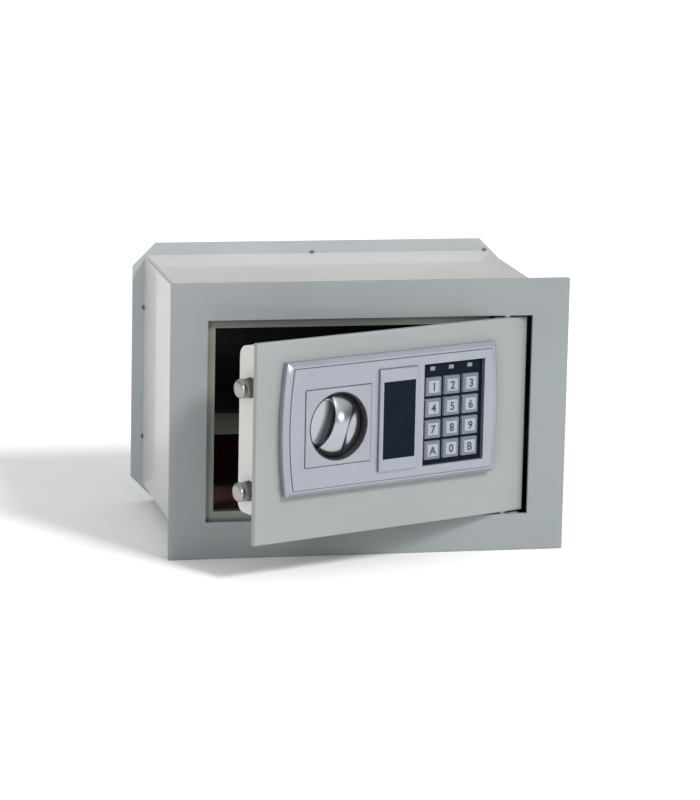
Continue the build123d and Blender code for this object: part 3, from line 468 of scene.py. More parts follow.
@dataclass
class Finishes:
    """Every finish of the safe, made once and looked up by the record's slot or by name."""

    made: dict[str, bpy.types.Material] = field(default_factory=dict)
    skin: float = 2.4 * MM
    past_skin: float = 0.8 * MM
    past_rear: float = 0.2 * MM

    def build(self) -> "Finishes":
        """Makes the materials.

        The hollow reaches from the middle to just inside the body's sheet, and back to the rear plate's face.
        """
        _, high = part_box("body_shell")
        rear_low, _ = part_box("rear_plate")
        hollow = (
            high.x - self.skin + self.past_skin,
            rear_low.y + self.past_rear,
            high.z - self.skin + self.past_skin,
        )
        # Near black for the inside of the body and rear plate: painted shade for the unlit hollow.
        painted_hollow_shade = (0.010, 0.0115, 0.0125)
        cell_low, cell_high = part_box("batteries")
        finishes = {
            "grey_enamel": Enamel("grey_enamel", (0.214, 0.235, 0.240)),
            # The door's colour is the grey enamel made a little lighter: painted light on the door, which faces
            # the light more than the flange.
            "door_enamel_painted_light": Enamel("door_enamel_painted_light", (0.238, 0.260, 0.257)),
            "rear_enamel": Enamel("rear_enamel", (0.34, 0.362, 0.378), inside=painted_hollow_shade, hollow=hollow),
            # The stop frame's colour is the grey enamel darkened and turned olive: painted shade for the recess of
            # the opening.
            "stop_enamel_painted_shade": Enamel("stop_enamel_painted_shade", (0.165, 0.178, 0.15)),
            "cream_enamel": Enamel("cream_enamel", (0.585, 0.575, 0.54)),
            "body_enamel": Enamel("body_enamel", (0.52, 0.52, 0.50), inside=painted_hollow_shade, hollow=hollow),
            "shelf_enamel": Enamel("shelf_enamel", (0.13, 0.135, 0.118), 0.45),
            "dark_enamel": Enamel("dark_enamel", (0.09, 0.095, 0.085), 0.45),
            "bare_steel": Metal("bare_steel", (0.62, 0.61, 0.58), 0.3, (0.2, 1.0, 1.0)),
            "bolt_steel": Metal("bolt_steel", (0.37, 0.37, 0.35), 0.26, (0.15, 1.0, 1.0)),
            # Near black for the bands laid in the lock panel's steps: painted shade.
            "painted_step_shade": Plastic("painted_step_shade", (0.055, 0.058, 0.068), 0.6),
            "bolt_shank": Metal("bolt_shank", (0.10, 0.103, 0.10), 0.3, (0.15, 1.0, 1.0)),
            "silver_plastic": SilverPaint(),
            "chrome": SatinChrome(),
            "black_plastic": Plastic("black_plastic", (0.012, 0.012, 0.013), 0.5),
            "navy_plate": Plastic("navy_plate", (0.003, 0.007, 0.014), 0.22, 0.02, gloss=0.07),
            "key_rim": Plastic("key_rim", (0.12, 0.137, 0.17), 0.35),
            "key_plastic": Plastic("key_plastic", (0.265, 0.29, 0.355), 0.35),
            "print_ink": Plastic("print_ink", (0.02, 0.022, 0.03), 0.5),
            "lens": Plastic("lens", (0.16, 0.18, 0.22), 0.15, 0.02, 0.6),
            "felt": Felt(),
            "board_green": CircuitBoard(),
            "rubber": Plastic("rubber", (0.02, 0.02, 0.02), 0.8, 0.3),
            "brass": Metal("brass", (0.70, 0.52, 0.22), 0.26, (1.0, 0.2, 1.0)),
            "cell": CellWrap(middle_z=(cell_low.z + cell_high.z) / 2),
        }
        for key, finish in finishes.items():
            self.made[key] = finish.make()
        return self

    def dress(self, piece: bpy.types.Object, *keys: str) -> None:
        """Puts the named finishes in a piece's material slots."""
        slots = piece.data.materials
        for place, key in enumerate(keys):
            if place < len(slots):
                slots[place] = self.made[key]
            else:
                slots.append(self.made[key])

    def dress_nodes(self, special: dict[str, str]) -> None:
        """Dresses every CAD node with its slot's finish, or with a special one."""
        for row in frame["record"]["subparts"]:
            node = row["node"]
            self.dress(frame["nodes"][node], special.get(node, row["material_slot"]))


# ---------------------------------------------------------------- surfaces


def mesh_piece(name: str, points: np.ndarray, faces: np.ndarray, smooth: bool = True) -> bpy.types.Object:
    """Makes a piece from points (n, 3) and faces (m, 3 or 4), with its place in its mesh."""
    mesh = bpy.data.meshes.new(name)
    mesh.from_pydata(points.reshape(-1, 3).tolist(), [], faces.tolist())
    mesh.validate()
    mesh.polygons.foreach_set("use_smooth", np.full(len(mesh.polygons), smooth))
    piece = bpy.data.objects.new(name, mesh)
    bpy.context.scene.collection.objects.link(piece)
    return piece


def mesh_values(elements: Any, name: str) -> np.ndarray:
    """A vector of each vertex or face, such as its place or its centre, as an array (n, 3)."""
    flat = np.zeros(len(elements) * 3, np.float32)
    elements.foreach_get(name, flat)
    return flat.reshape(-1, 3).astype(float)


def ring_faces(rings: int, around: int) -> np.ndarray:
    """Quads between neighbouring closed rings of points, ring by ring."""
    i, j = np.meshgrid(np.arange(rings - 1), np.arange(around), indexing="ij")
    k = (j + 1) % around
    quads = np.stack([i * around + j, i * around + k, (i + 1) * around + k, (i + 1) * around + j], -1)
    return quads.reshape(-1, 4)


def closed_rings(name: str, rings: np.ndarray) -> bpy.types.Object:
    """A closed skin through rings of points (rings, around, 3), with a fan at each end.

    Args:
        name: The piece's name.
        rings: The rings, each counted the same way round.

    Returns:
        The piece, with its faces turned outwards.
    """
    count, around, _ = rings.shape
    points = np.concatenate([rings.reshape(-1, 3), rings[0].mean(0)[None], rings[-1].mean(0)[None]])
    j = np.arange(around)
    k = (j + 1) % around
    first, last = count * around, count * around + 1
    fan_a = np.stack([np.full(around, first), k, j], -1)
    fan_b = np.stack([np.full(around, last), (count - 1) * around + j, (count - 1) * around + k], -1)
    quads = ring_faces(count, around)
    split = np.concatenate([quads[:, [0, 1, 2]], quads[:, [0, 2, 3]], fan_a, fan_b])
    corner = points[split]
    volume = np.einsum("ij,ij->", corner[:, 0], np.cross(corner[:, 1], corner[:, 2]))
    return mesh_piece(name, points, split if volume > 0 else split[:, ::-1])


def rounded_rectangle(width: float, height: float, radius: float, around: int = 64) -> np.ndarray:
    """Points round a rectangle with round corners: a corner circle's point plus the corner's own offset.

    Args:
        width: Full width along the first axis.
        height: Full height along the second axis.
        radius: Corner radius.
        around: Points round it, a multiple of four.

    Returns:
        An array (around, 2).
    """
    angle = (np.arange(around) // (around // 4)) * (math.pi / 2)
    share = (np.arange(around) % (around // 4)) / (around // 4 - 1)
    turn = angle + share * math.pi / 2
    radius = min(radius, width / 2, height / 2)
    corner = np.stack([np.sign(np.cos(angle + math.pi / 4)), np.sign(np.sin(angle + math.pi / 4))], -1)
    offset = corner * np.array([width / 2 - radius, height / 2 - radius])
    return offset + radius * np.stack([np.cos(turn), np.sin(turn)], -1)


def soft_lower(first: np.ndarray, second: np.ndarray, blend: float) -> np.ndarray:
    """The lower of two heights, with the crease between them rounded over the blend distance."""
    share = np.clip(0.5 + 0.5 * (second - first) / blend, 0, 1)
    return second * (1 - share) + first * share - blend * share * (1 - share)


@dataclass(frozen=True)
class ShutDoor:
    """The door's own frame, in which it is shut, and the turn that brings it to rest."""

    hinge: Vector
    angle: float

    @classmethod
    def read(cls) -> "ShutDoor":
        """Reads the hinge's place, and the angle by which the door rests open, from the joints."""
        joint = next(j for j in frame["joints"] if j["name"] == "door_hinge")
        return cls(Vector(joint["pos_m"]), math.radians(-joint["range_deg"][0]))

    def turned(self, points: np.ndarray, sign: float = 1.0) -> np.ndarray:
        """Turns points about the hinge, from shut to rest, or back with a sign of -1."""
        c, s = math.cos(self.angle), sign * math.sin(self.angle)
        hinge = np.array(self.hinge)
        moved = points - hinge
        x = moved[..., 0] * c - moved[..., 1] * s
        y = moved[..., 0] * s + moved[..., 1] * c
        return np.stack([x, y, moved[..., 2]], -1) + hinge

    def box(self, node: str) -> tuple[np.ndarray, np.ndarray]:
        """A node's lowest and highest corners with the door shut."""
        points = self.turned(mesh_values(frame["nodes"][node].data.vertices, "co"), -1.0)
        return points.min(0), points.max(0)


DOOR = ShutDoor.read()


# ---------------------------------------------------------------- pieces of the door


@dataclass
class TurningKnob:
    """The chromed knob: a low dome with a wide scoop on each side of a waisted grip."""

    rings: int = 150
    around: int = 288
    waist: float = 6.8 * MM
    scoop_radius: float = 62.0 * MM
    scoop_fillet: float = 9.0 * MM
    scoop_floor: float = 2.8 * MM
    rim: float = 2.0 * MM
    first_ring: float = 0.004
    crowding: float = 0.9
    edge: float = 0.35 * MM
    past_scoop: float = 12.0
    tilt: float = math.radians(17.0)
    creases: tuple[float, float] = (0.5 * MM, 6.5 * MM)
    # Where the painted dark reflection starts, rises and ends on the left scoop's flank.
    painted_reflection_from: float = 0.95
    painted_reflection_rise: float = 5.5 * MM
    painted_reflection_past: float = 0.15 * MM
    painted_reflection_fall: float = 0.4 * MM

    def height(self, across: np.ndarray, along: np.ndarray, radius: float, top: float) -> np.ndarray:
        """Height over the knob's back: the lower of a ball's cap and of each scoop's round foot."""
        dome = top - self.rim
        ball = (radius**2 + dome**2) / (2 * dome)
        out = np.hypot(across, along)
        made = self.rim + np.sqrt(np.maximum(ball**2 - out**2, 0)) - (ball - dome)
        start = self.scoop_radius - self.scoop_fillet
        for side, crease in zip((-1, 1), self.creases):
            reach = np.hypot(across - side * (self.waist + self.scoop_radius), along)
            into = np.clip(reach - start, 0, self.scoop_fillet)
            foot = self.scoop_floor + self.scoop_fillet - np.sqrt(self.scoop_fillet**2 - into**2)
            beyond = np.maximum(reach - self.scoop_radius, 0) * self.past_scoop
            made = soft_lower(made, foot + beyond, crease)
        return made

    def flank(self, across: np.ndarray, along: np.ndarray) -> np.ndarray:
        """Share of painted dark reflection: a soft step at each side of the left scoop's steep band."""
        reach = np.hypot(across + self.waist + self.scoop_radius, along)
        foot = self.scoop_radius - self.painted_reflection_from * self.scoop_fillet
        rise = np.clip((reach - foot) / self.painted_reflection_rise, 0, 1)
        fall = np.clip((self.scoop_radius + self.painted_reflection_past - reach) / self.painted_reflection_fall, 0, 1)
        return rise * rise * (3 - 2 * rise) * fall

    def build(self, finishes: Finishes) -> None:
        """Builds the knob as rings: out over its face to the rim, down its side and across its back."""
        low, high = DOOR.box("knob")
        centre, radius = (low + high) / 2, (high[2] - low[2]) / 2
        top = high[1] - low[1]
        turn = np.arange(self.around) / self.around * 2 * math.pi
        share = np.linspace(self.first_ring, 1.0, self.rings) ** self.crowding
        edge = self.edge
        reach = share * (radius - edge)
        across, along = reach[:, None] * np.cos(turn), reach[:, None] * np.sin(turn)
        height = self.height(across, along, radius, top)
        roll = np.linspace(0, math.pi / 2, 5)[1:, None]
        side_r = radius - edge + edge * np.sin(roll)
        last = height[-1][None]
        side_h = last - edge * (1 - np.cos(roll))
        back_r = np.array([radius, radius - 1.0 * MM, radius * 0.5, radius * 0.17])[:, None]
        back_h = np.array([0.3 * MM, 0.0, 0.0, 0.0])[:, None] + 0 * last
        all_r = np.concatenate([reach[:, None] + 0 * last, side_r + 0 * last, back_r + 0 * last])
        all_h = np.concatenate([height, side_h, back_h])
        x, z = all_r * np.cos(turn), all_r * np.sin(turn)
        c, s = math.cos(self.tilt), math.sin(self.tilt)
        points = np.stack([centre[0] + x * c + z * s, high[1] - all_h, centre[2] - x * s + z * c], -1)
        piece = closed_rings("chrome_knob", DOOR.turned(points))
        # The flank attribute carries the share of painted dark reflection on the left scoop's steep flank.
        painted_dark_reflection = self.flank(x, z) * (all_h > self.rim * 0.9)
        poles = np.zeros(len(piece.data.vertices) - painted_dark_reflection.size)
        attribute = piece.data.attributes.new("flank", "FLOAT", "POINT")
        attribute.data.foreach_set("value", np.append(painted_dark_reflection, poles).astype(np.float32))
        finishes.dress(piece, "chrome")
        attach(piece, "knob_and_crank")
        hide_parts("knob")
        LOG.info("knob: radius %.1f mm, height %.1f mm", radius / MM, top / MM)


@dataclass
class Keys:
    """The twelve keys: a dished pad in a bevelled border, each with its printed sign."""

    names: str = "123456789a0b"
    rim_bevel: float = 0.9 * MM
    pad_half: tuple[float, float] = (5.5 * MM, 5.3 * MM)
    pad_rise: float = 0.7 * MM
    pad_margin: float = 0.1 * MM
    foot_thick: float = 0.8 * MM
    step: tuple[float, float] = (1.6 * MM, 1.2 * MM)
    sign_height: float = 7.6 * MM
    sign_lift: float = 0.10 * MM
    boldness: float = 0.16 * MM
    ink: float = 0.08 * MM

    def cap(self, label: str, low: np.ndarray, high: np.ndarray) -> bpy.types.Object:
        """A key's cap as stacked outlines: foot, skirt, bevelled border, moat and dished pad.

        Each row of the profile is an outline's width, height, depth and corner radius in millimetres.
        """
        centre = (low + high) / 2
        foot_w, foot_h = high[0] - low[0], high[2] - low[2]
        skirt_w, skirt_h = foot_w - self.step[0], foot_h - self.step[1]
        shoulder = high[1] - self.foot_thick
        top = low[1] + self.pad_rise
        pad_w, pad_h = 2 * self.pad_half[0], 2 * self.pad_half[1]
        bevel = self.rim_bevel
        profile = [
            (foot_w, foot_h, high[1], 0.5),
            (foot_w, foot_h, shoulder, 0.5),
            (skirt_w, skirt_h, shoulder, 0.7),
            (skirt_w, skirt_h, top + bevel, 0.7),
            (skirt_w - 0.3 * bevel, skirt_h - 0.3 * bevel, top + 0.45 * bevel, 0.8),
            (skirt_w - 1.0 * bevel, skirt_h - 1.0 * bevel, top + 0.12 * bevel, 0.8),
            (skirt_w - 2.0 * bevel, skirt_h - 2.0 * bevel, top, 0.8),
            (pad_w + 0.9 * MM, pad_h + 0.9 * MM, top + 0.05 * MM, 0.9),
            (pad_w + 0.5 * MM, pad_h + 0.5 * MM, top + 0.20 * MM, 0.9),
            (pad_w, pad_h, top, 0.9),
            (pad_w - 0.2 * MM, pad_h - 0.2 * MM, low[1] + 0.2 * MM, 0.9),
            (pad_w - 0.7 * MM, pad_h - 0.7 * MM, low[1], 0.9),
            (pad_w * 0.7, pad_h * 0.7, low[1] + 0.10 * MM, 2.0),
            (pad_w * 0.35, pad_h * 0.35, low[1] + 0.16 * MM, 1.5),
        ]
        rings = []
        for width, height, y, radius in profile:
            flat = rounded_rectangle(width, height, radius * MM)
            x, z = centre[0] + flat[:, 0], centre[2] + flat[:, 1]
            rings.append(np.stack([x, np.full(len(flat), y), z], -1))
        piece = closed_rings(f"key_cap_{label}", DOOR.turned(np.array(rings)))
        shut = DOOR.turned(mesh_values(piece.data.polygons, "center"), -1.0)
        near_w = np.abs(shut[:, 0] - centre[0]) < pad_w / 2 + self.pad_margin
        near_h = np.abs(shut[:, 2] - centre[2]) < pad_h / 2 + self.pad_margin
        on_pad = near_w & near_h & (shut[:, 1] < top)
        piece.data.polygons.foreach_set("material_index", on_pad.astype(np.int32))
        return piece

    def sign(self, label: str, low: np.ndarray, high: np.ndarray) -> bpy.types.Object:
        """The printed figure or letter, a thin solid lying on the pad."""
        curve = bpy.data.curves.new(f"sign_{label}", "FONT")
        curve.body = label.upper()
        curve.size = self.sign_height * 1.25
        curve.align_x, curve.align_y = "CENTER", "CENTER"
        curve.extrude = self.ink / 2
        curve.offset = self.boldness
        curve.resolution_u = 6
        text = bpy.data.objects.new(f"text_{label}", curve)
        bpy.context.scene.collection.objects.link(text)
        bpy.context.view_layer.update()
        mesh = bpy.data.meshes.new_from_object(text.evaluated_get(bpy.context.evaluated_depsgraph_get()))
        bpy.data.objects.remove(text)
        flat = mesh_values(mesh.vertices, "co")
        flat = flat - (flat.min(0) + flat.max(0)) / 2
        centre = (low + high) / 2
        y = low[1] + self.sign_lift - flat[:, 2]
        points = np.stack([centre[0] + flat[:, 0], y, centre[2] + flat[:, 1]], -1)
        mesh.vertices.foreach_set("co", DOOR.turned(points).astype(np.float32).ravel())
        mesh.update()
        piece = bpy.data.objects.new(f"key_sign_{label}", mesh)
        bpy.context.scene.collection.objects.link(piece)
        return piece

    def build(self, finishes: Finishes) -> None:
        """Builds each key's cap and its sign."""
        for label in self.names:
            low, high = DOOR.box(f"key_{label}")
            cap = self.cap(label, low, high)
            finishes.dress(cap, "key_rim", "key_plastic")
            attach(cap, f"key_{label}_cap")
            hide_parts(f"key_{label}")
            sign = self.sign(label, low, high)
            finishes.dress(sign, "print_ink")
            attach(sign, f"key_{label}_cap")
        LOG.info("keys: %d caps with their signs", len(self.names))


@dataclass
class PanelStepShade:
    """Painted shade in the steps of the lock panel: thin dark bands round its raised field and round the knob's
    block, standing in for the shadow in each step's corner.
    """

    field_inset: float = 4.95 * MM
    bulge: float = 4.0 * MM
    block_half: float = 32.0 * MM
    face: float = 12.0 * MM
    width: float = 0.7 * MM
    height: float = 0.12 * MM
    samples: int = 40

    def bowed(self, low: np.ndarray, high: np.ndarray, inset: float) -> np.ndarray:
        """A closed line (n, 2) with a straight top and foot and sides bowed out as circle arcs."""
        centre_x, centre_z = (low[0] + high[0]) / 2, (low[2] + high[2]) / 2
        half_w, half_h = (high[0] - low[0]) / 2 - self.bulge - inset, (high[2] - low[2]) / 2 - inset
        across = np.linspace(-half_w, half_w, self.samples, endpoint=False)
        rise = np.linspace(-half_h, half_h, self.samples, endpoint=False)
        radius = (half_h**2 + self.bulge**2) / (2 * self.bulge)
        bow = np.sqrt(radius**2 - rise**2) - (radius - self.bulge)
        foot = np.stack([across, np.full_like(across, -half_h)], -1)
        right = np.stack([half_w + bow, rise], -1)
        return np.concatenate([foot, right, -foot, -right]) + (centre_x, centre_z)

    def band(self, name: str, line: np.ndarray, face: float, finishes: Finishes) -> None:
        """Carries a small rectangle round a closed line lying on a face at one depth."""
        ahead = np.roll(line, -1, 0) - np.roll(line, 1, 0)
        ahead /= np.linalg.norm(ahead, axis=1)[:, None]
        out = np.stack([ahead[:, 1], -ahead[:, 0]], -1)
        section = np.array([(-1, 0.5), (1, 0.5), (1, -1), (-1, -1)])
        flat = line[:, None] + 0.5 * self.width * section[None, :, :1] * out[:, None]
        depth = face + self.height * section[None, :, 1] + 0 * flat[..., 0]
        points = np.stack([flat[..., 0], depth, flat[..., 1]], -1)
        count = len(line)
        i, j = np.meshgrid(np.arange(count), np.arange(4), indexing="ij")
        a, b = i * 4 + j, i * 4 + (j + 1) % 4
        c, d = (i + 1) % count * 4 + (j + 1) % 4, (i + 1) % count * 4 + j
        piece = mesh_piece(name, DOOR.turned(points), np.stack([a, b, c, d], -1).reshape(-1, 4), False)
        # The band's dark colour is painted shade in the corner of the step.
        finishes.dress(piece, "painted_step_shade")
        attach(piece, "door")

    def build(self, finishes: Finishes) -> None:
        """Builds both bands of painted shade."""
        low, high = DOOR.box("lock_panel")
        self.band("field_step_shade", self.bowed(low, high, self.field_inset), -self.face, finishes)
        knob_low, knob_high = DOOR.box("knob")
        middle = (knob_low + knob_high) / 2
        half = self.block_half + 0.5 * self.width
        square = rounded_rectangle(2 * half, 2 * half, 0.6 * MM, 24) + (middle[0], middle[2])
        self.band("block_step_shade", square, -self.face - 0.6 * MM, finishes)
        LOG.info("panel step_shades: 2 lines")


@dataclass
class LockingBolts:
    """The two turned bolts: a domed chamfer at the tip, a narrow ring groove and a plain shank."""

    around: int = 96
    groove_back: float = 7.5 * MM
    groove_width: float = 0.6 * MM
    groove_depth: float = 0.2 * MM
    tip_mm: tuple[float, ...] = (0, 0, 0.15, 0.6, 1.1, 1.5, 1.7)
    tip_share: tuple[float, ...] = (0.35, 0.80, 0.835, 0.90, 0.965, 0.995, 1.0)

    def build(self, finishes: Finishes) -> None:
        """Builds each bolt as rings along its axis.

        The radius is a function of the distance from the tip: a share of the full one over the tip, then less
        the groove's depth over the groove's width.
        """
        low, high = DOOR.box("locking_bolts")
        radius = (high[1] - low[1]) / 2
        reach = (high[2] - low[2]) / 2 - radius
        length = high[0] - low[0]
        g, w = self.groove_back, self.groove_width
        along = np.array(self.tip_mm) * MM
        size = np.array(self.tip_share) * radius
        groove = np.array([g, g + 0.1 * MM, g + w - 0.1 * MM, g + w])
        cut = radius - np.array([0, self.groove_depth, self.groove_depth, 0])
        along = np.concatenate([along, groove, [length - 0.5 * MM, length]])
        size = np.concatenate([size, cut, [radius, radius - 0.5 * MM]])
        turn = np.arange(self.around) / self.around * 2 * math.pi
        for name, sign in (("upper", 1), ("lower", -1)):
            x = low[0] + along[:, None] + 0 * turn
            y = (low[1] + high[1]) / 2 + size[:, None] * np.cos(turn)
            z = (low[2] + high[2]) / 2 + sign * reach + size[:, None] * np.sin(turn)
            piece = closed_rings(f"turned_bolt_{name}", DOOR.turned(np.stack([x, y, z], -1)))
            shut = DOOR.turned(mesh_values(piece.data.polygons, "center"), -1.0)
            shank = shut[:, 0] > low[0] + self.groove_back + 0.5 * self.groove_width
            piece.data.polygons.foreach_set("material_index", shank.astype(np.int32))
            finishes.dress(piece, "bolt_steel", "bolt_shank")
            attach(piece, "bolt_work")
            if sign > 0:
                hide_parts("locking_bolts")
        LOG.info("bolts: radius %.1f mm, length %.1f mm", radius / MM, length / MM)


@dataclass
class PlungerSpring:
    """The plunger's spring as one wound wire."""

    wire: float = 0.45 * MM
    turns: float = 3.5
    steps: int = 180
    around: int = 10

    def build(self, finishes: Finishes) -> None:
        """Sweeps the wire's circle along a helix between the CAD rings' lowest and highest points."""
        low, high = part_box("plunger_spring")
        centre = (low + high) / 2
        radius = (high.x - low.x) / 2 - self.wire
        share = np.linspace(0, 1, self.steps)
        angle = share * self.turns * 2 * math.pi
        z = low.z + self.wire + share * (high.z - low.z - 2 * self.wire)
        out = np.stack([np.cos(angle), np.sin(angle), 0 * angle], -1)
        path = np.stack([centre.x + radius * out[:, 0], centre.y + radius * out[:, 1], z], -1)
        turn = np.arange(self.around) / self.around * 2 * math.pi
        up = np.array([0, 0, 1.0])
        rings = path[:, None] + self.wire * (
            np.cos(turn)[None, :, None] * out[:, None] + np.sin(turn)[None, :, None] * up
        )
        piece = closed_rings("wound_spring", rings)
        finishes.dress(piece, "bare_steel")
        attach(piece, "door")
        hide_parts("plunger_spring")
        LOG.info("spring: %.1f turns", self.turns)


@dataclass
class FloorFelt:
    """The felt lining of the floor, turned up the rear wall, with an uneven pile and soft edges."""

    thick: float = 3.0 * MM
    bend: float = 9.0 * MM
    steps: tuple[int, int] = (150, 190)
    unevenness: float = 0.3 * MM
    edge: float = 2.2 * MM
    waves: tuple[float, float] = (61.0, 53.0)
    sways: tuple[float, float] = (37.0, 29.0)

    def path(self, low: Vector, high: Vector) -> tuple[np.ndarray, np.ndarray]:
        """The pile's mid line from the front, along the floor, round the bend and up the wall.

        Returns:
            Points (n, 2) of depth and height on the glued face, and the unit normals out of it.
        """
        count = self.steps[1]
        run, rise = high.y - low.y - self.bend, high.z - low.z - self.bend
        arc = self.bend * math.pi / 2
        at = np.linspace(0, run + arc + rise, count)
        angle = np.clip((at - run) / self.bend, 0, math.pi / 2)
        y = low.y + np.minimum(at, run) + self.bend * np.sin(angle)
        z = low.z + self.bend * (1 - np.cos(angle)) + np.maximum(at - run - arc, 0)
        return np.stack([y, z], -1), np.stack([-np.sin(angle), np.cos(angle)], -1)

    def build(self, finishes: Finishes) -> None:
        """Builds the pile over the glued face: its height is waved a little and rounded down at the edges."""
        low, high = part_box("floor_mat")
        line, normal = self.path(low, high)
        length = np.concatenate([[0], np.cumsum(np.linalg.norm(np.diff(line, axis=0), axis=1))])
        x = np.linspace(low.x, high.x, self.steps[0])
        across, along = np.meshgrid(x, length, indexing="ij")
        inset = np.minimum.reduce([across - low.x, high.x - across, along, length[-1] - along])
        drop = self.edge * (1 - np.sqrt(1 - np.clip(1 - inset / self.edge, 0, 1) ** 2))
        sway_x, sway_y = 1.7 * np.sin(along * self.sways[0]), 1.3 * np.sin(across * self.sways[1])
        wave = np.sin(across * self.waves[0] + sway_x) * np.sin(along * self.waves[1] + sway_y)
        pile = self.thick - drop - self.unevenness * (0.5 + 0.5 * wave)
        glued = line + 0 * pile[..., None]
        foot = np.concatenate([across[..., None], glued], -1)
        top = np.concatenate([across[..., None], glued + pile[..., None] * normal], -1)
        n, m = self.steps
        i, j = np.meshgrid(np.arange(n - 1), np.arange(m - 1), indexing="ij")
        a = i * m + j
        quads = np.stack([a, a + m, a + m + 1, a + 1], -1).reshape(-1, 4)
        right_side = (n - 1) * m + np.arange(1, m)
        far_side = np.arange(n - 1)[::-1] * m + m - 1
        border = np.concatenate([np.arange(n) * m, right_side, far_side, np.arange(1, m - 1)[::-1]])
        after = np.roll(border, -1)
        size = n * m
        wall = np.stack([border, border + size, after + size, after], -1)
        faces = np.concatenate([quads, quads[:, ::-1] + size, wall])
        piece = mesh_piece("felt_mat", np.concatenate([top.reshape(-1, 3), foot.reshape(-1, 3)]), faces)
        finishes.dress(piece, "felt")
        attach(piece, "safe_body")
        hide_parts("floor_mat")
        LOG.info("felt: %.0f x %.0f mm", (high.x - low.x) / MM, length[-1] / MM)


@dataclass
class WeldBeads:
    """Small dark weld tacks where the body meets the rear plate."""

    ripples: float = 3.0
    ripple_share: float = 0.08
    half_length: float = 1.9 * MM
    radius: float = 1.15 * MM
    middle: float = -6.5 * MM
    inset: float = 5.5 * MM
    height: float = 58.0 * MM
    steps: int = 30
    around: int = 16

    def build(self, finishes: Finishes) -> None:
        """Builds each bead as rings along the joint whose radius swells and ripples.

        The radius is the bead's size times the square root of a parabola, plus a small sine for the ripples.
        """
        _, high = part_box("seam_welds")
        _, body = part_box("body_shell")
        share = np.linspace(-1, 1, self.steps)
        ripple = 1 + self.ripple_share * np.sin(share * self.ripples * math.pi * 2)
        swell = self.radius * np.sqrt(np.maximum(1 - share**2, 0.02)) * ripple
        turn = np.arange(self.around) / self.around * 2 * math.pi
        along = share[:, None] * self.half_length + 0 * turn
        out = swell[:, None] * np.cos(turn)
        deep = high.y - self.radius + swell[:, None] * np.sin(turn)
        level = [(x, side) for x in (self.middle, body.x - self.inset) for side in (-1, 1)]
        upright = [(z, side) for z in (-self.height, self.height) for side in (-1, 1)]
        for number, (x, side) in enumerate(level):
            z = side * (body.z + self.radius) + out
            self.bead(f"weld_level_{number}", np.stack([x + along, deep, z], -1), finishes)
        for number, (z, side) in enumerate(upright):
            x = side * (body.x + self.radius) + out
            self.bead(f"weld_upright_{number}", np.stack([x, deep, z + along], -1), finishes)
        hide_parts("seam_welds")
        LOG.info("welds: %d beads", len(level) + len(upright))

    def bead(self, name: str, rings: np.ndarray, finishes: Finishes) -> None:
        """Makes one bead from its rings."""
        piece = closed_rings(name, rings)
        finishes.dress(piece, "dark_enamel")
        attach(piece, "safe_body")


# ---------------------------------------------------------------- sheet and moulded edges


@dataclass
class CrispEdges:
    """Small rounded edges on the CAD sheet and mouldings, so that they catch the light."""

    widths: dict[str, float] = field(
        default_factory=lambda: {
            "lock_panel": 0.25 * MM,
            "centre_cover": 0.35 * MM,
            "front_flange": 0.3 * MM,
            "door_plate": 0.25 * MM,
            "shelf": 0.3 * MM,
            "door_stop_frame": 0.25 * MM,
            "battery_cover": 0.2 * MM,
        }
    )
    sharper_than: float = math.radians(40)
    weld_within: float = 1e-6

    def build(self) -> None:
        """Welds each node's triangles in a modifier and rounds the edges sharper than the angle."""
        for node, width in self.widths.items():
            piece = frame["nodes"][node]
            weld = piece.modifiers.new("weld", "WELD")
            weld.merge_threshold = self.weld_within
            bevel = piece.modifiers.new("edge", "BEVEL")
            bevel.width = width
            bevel.segments = 2
            bevel.limit_method = "ANGLE"
            bevel.angle_limit = self.sharper_than
            bevel.harden_normals = True
        LOG.info("edges rounded on %d nodes", len(self.widths))


# ---------------------------------------------------------------- studio


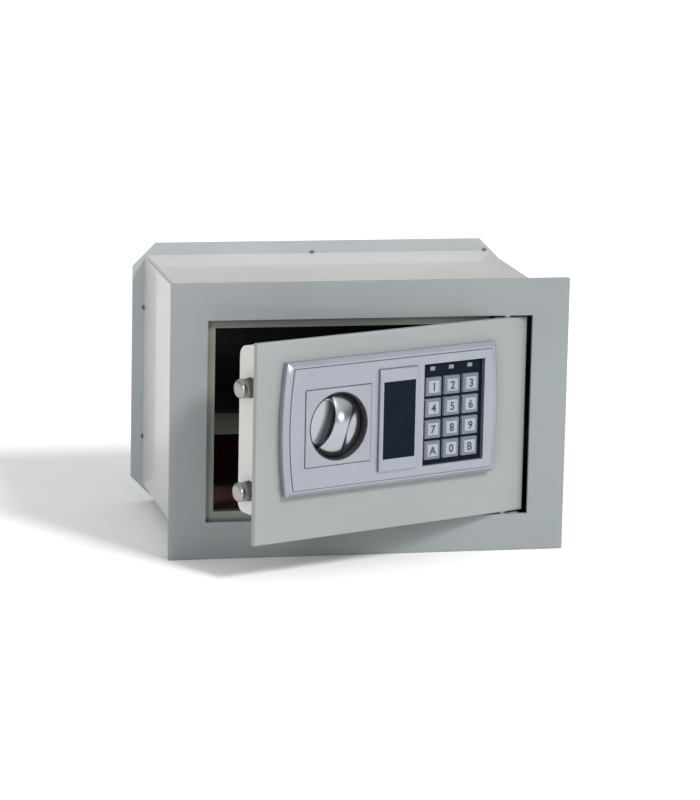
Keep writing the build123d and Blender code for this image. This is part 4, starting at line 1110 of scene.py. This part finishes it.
@dataclass
class Studio:
    """A pale floor, a room with a bright ceiling, three soft lights and the camera."""

    camera_at: Triple = (-0.6858, -3.0608, 0.6550)
    yaw: float = 0.2152
    pitch: float = -0.2013
    roll: float = 0.0210
    lens: float = 171.9
    ceiling: float = 0.72
    floor_gap: float = 0.2 * MM
    floor_half: float = 40.0

    def camera(self) -> None:
        """Places the camera: yaw turns it from +Y towards +X, then it tips and rolls."""
        cp = math.cos(self.pitch)
        ahead = Vector((math.sin(self.yaw) * cp, math.cos(self.yaw) * cp, math.sin(self.pitch)))
        right = Vector((math.cos(self.yaw), -math.sin(self.yaw), 0))
        up = right.cross(ahead)
        side = right * math.cos(self.roll) + up * math.sin(self.roll)
        top = -right * math.sin(self.roll) + up * math.cos(self.roll)
        data = bpy.data.cameras.new("camera")
        data.lens = self.lens
        data.clip_end = 60
        camera = bpy.data.objects.new("camera", data)
        turn = Matrix((side, top, -ahead)).transposed().to_4x4()
        camera.matrix_world = Matrix.Translation(self.camera_at) @ turn
        bpy.context.scene.collection.objects.link(camera)
        bpy.context.scene.camera = camera

    def floor(self) -> None:
        """A wide flat floor, a little below the safe."""
        low, half = CAD_BOX[0].z - self.floor_gap, self.floor_half
        corners = np.array([[-half, -half, low], [half, -half, low], [half, half, low], [-half, half, low]])
        floor = mesh_piece("studio_floor", corners, np.array([[0, 1, 2, 3]]))
        paper = Shade("studio_floor").surface(Base_Color=(0.93, 0.93, 0.93), Roughness=0.9)
        floor.data.materials.append(paper)

    def sun(self, name: str, towards: Vector, spread: float, power: float, colour: Colour) -> None:
        """A distant soft light that shines along a direction.

        Args:
            name: The lamp's name.
            towards: The direction in which it shines.
            spread: The angle that it fills, in degrees.
            power: Its strength.
            colour: Its colour.
        """
        data = bpy.data.lights.new(name, "SUN")
        data.angle, data.energy, data.color = math.radians(spread), power, colour
        lamp = bpy.data.objects.new(name, data)
        lamp.rotation_euler = towards.to_track_quat("-Z", "Y").to_euler()
        bpy.context.scene.collection.objects.link(lamp)

    def room(self) -> None:
        """A bright ceiling over dim walls: brightness rises with the height of the direction looked in."""
        world = bpy.data.worlds.new("room")
        world.use_nodes = True
        tree = world.node_tree
        nodes, links = tree.nodes, tree.links
        place = nodes.new("ShaderNodeTexCoord")
        split = nodes.new("ShaderNodeSeparateXYZ")
        ramp = nodes.new("ShaderNodeValToRGB")
        ramp.color_ramp.interpolation = "EASE"
        stops = [(0.0, 0.10), (0.12, 0.14), (0.42, 1.0), (1.0, 1.0)]
        while len(ramp.color_ramp.elements) < len(stops):
            ramp.color_ramp.elements.new(0.5)
        for element, (height, tone) in zip(ramp.color_ramp.elements, stops):
            element.position, element.color = height, (tone * 0.97, tone * 0.985, tone, 1.0)
        links.new(place.outputs["Generated"], split.inputs[0])
        links.new(split.outputs["Z"], ramp.inputs[0])
        links.new(ramp.outputs[0], nodes["Background"].inputs[0])
        nodes["Background"].inputs[1].default_value = self.ceiling
        bpy.context.scene.world = world

    def build(self) -> None:
        """Builds the studio."""
        self.camera()
        self.floor()
        self.room()
        self.sun("key_light", Vector((-0.52, 0.78, -0.80)), 13.0, 2.5, (1.0, 0.99, 0.97))
        self.sun("fill_light", Vector((0.50, 0.80, -0.30)), 18.0, 0.95, (0.97, 0.98, 1.0))
        self.sun("grip_light", Vector((-0.82, 0.545, -0.145)), 12.0, 0.22, (1.0, 1.0, 1.0))
        bpy.context.scene.view_settings.view_transform = "Standard"


def main() -> None:
    """Builds the studio, dresses the CAD nodes and makes the detailed pieces."""
    logging.basicConfig(level=logging.INFO, format="%(name)s: %(message)s")
    Studio().build()
    finishes = Finishes().build()
    finishes.dress_nodes(
        {
            "body_shell": "body_enamel",
            "rear_plate": "rear_enamel",
            "door_stop_frame": "stop_enamel_painted_shade",
            "door_plate": "door_enamel_painted_light",
            "shelf": "shelf_enamel",
        }
    )
    CrispEdges().build()
    parts = (
        TurningKnob(),
        Keys(),
        PanelStepShade(),
        LockingBolts(),
        PlungerSpring(),
        FloorFelt(),
        WeldBeads(),
    )
    for part in parts:
        part.build(finishes)


if __name__ == "__main__":
    main()
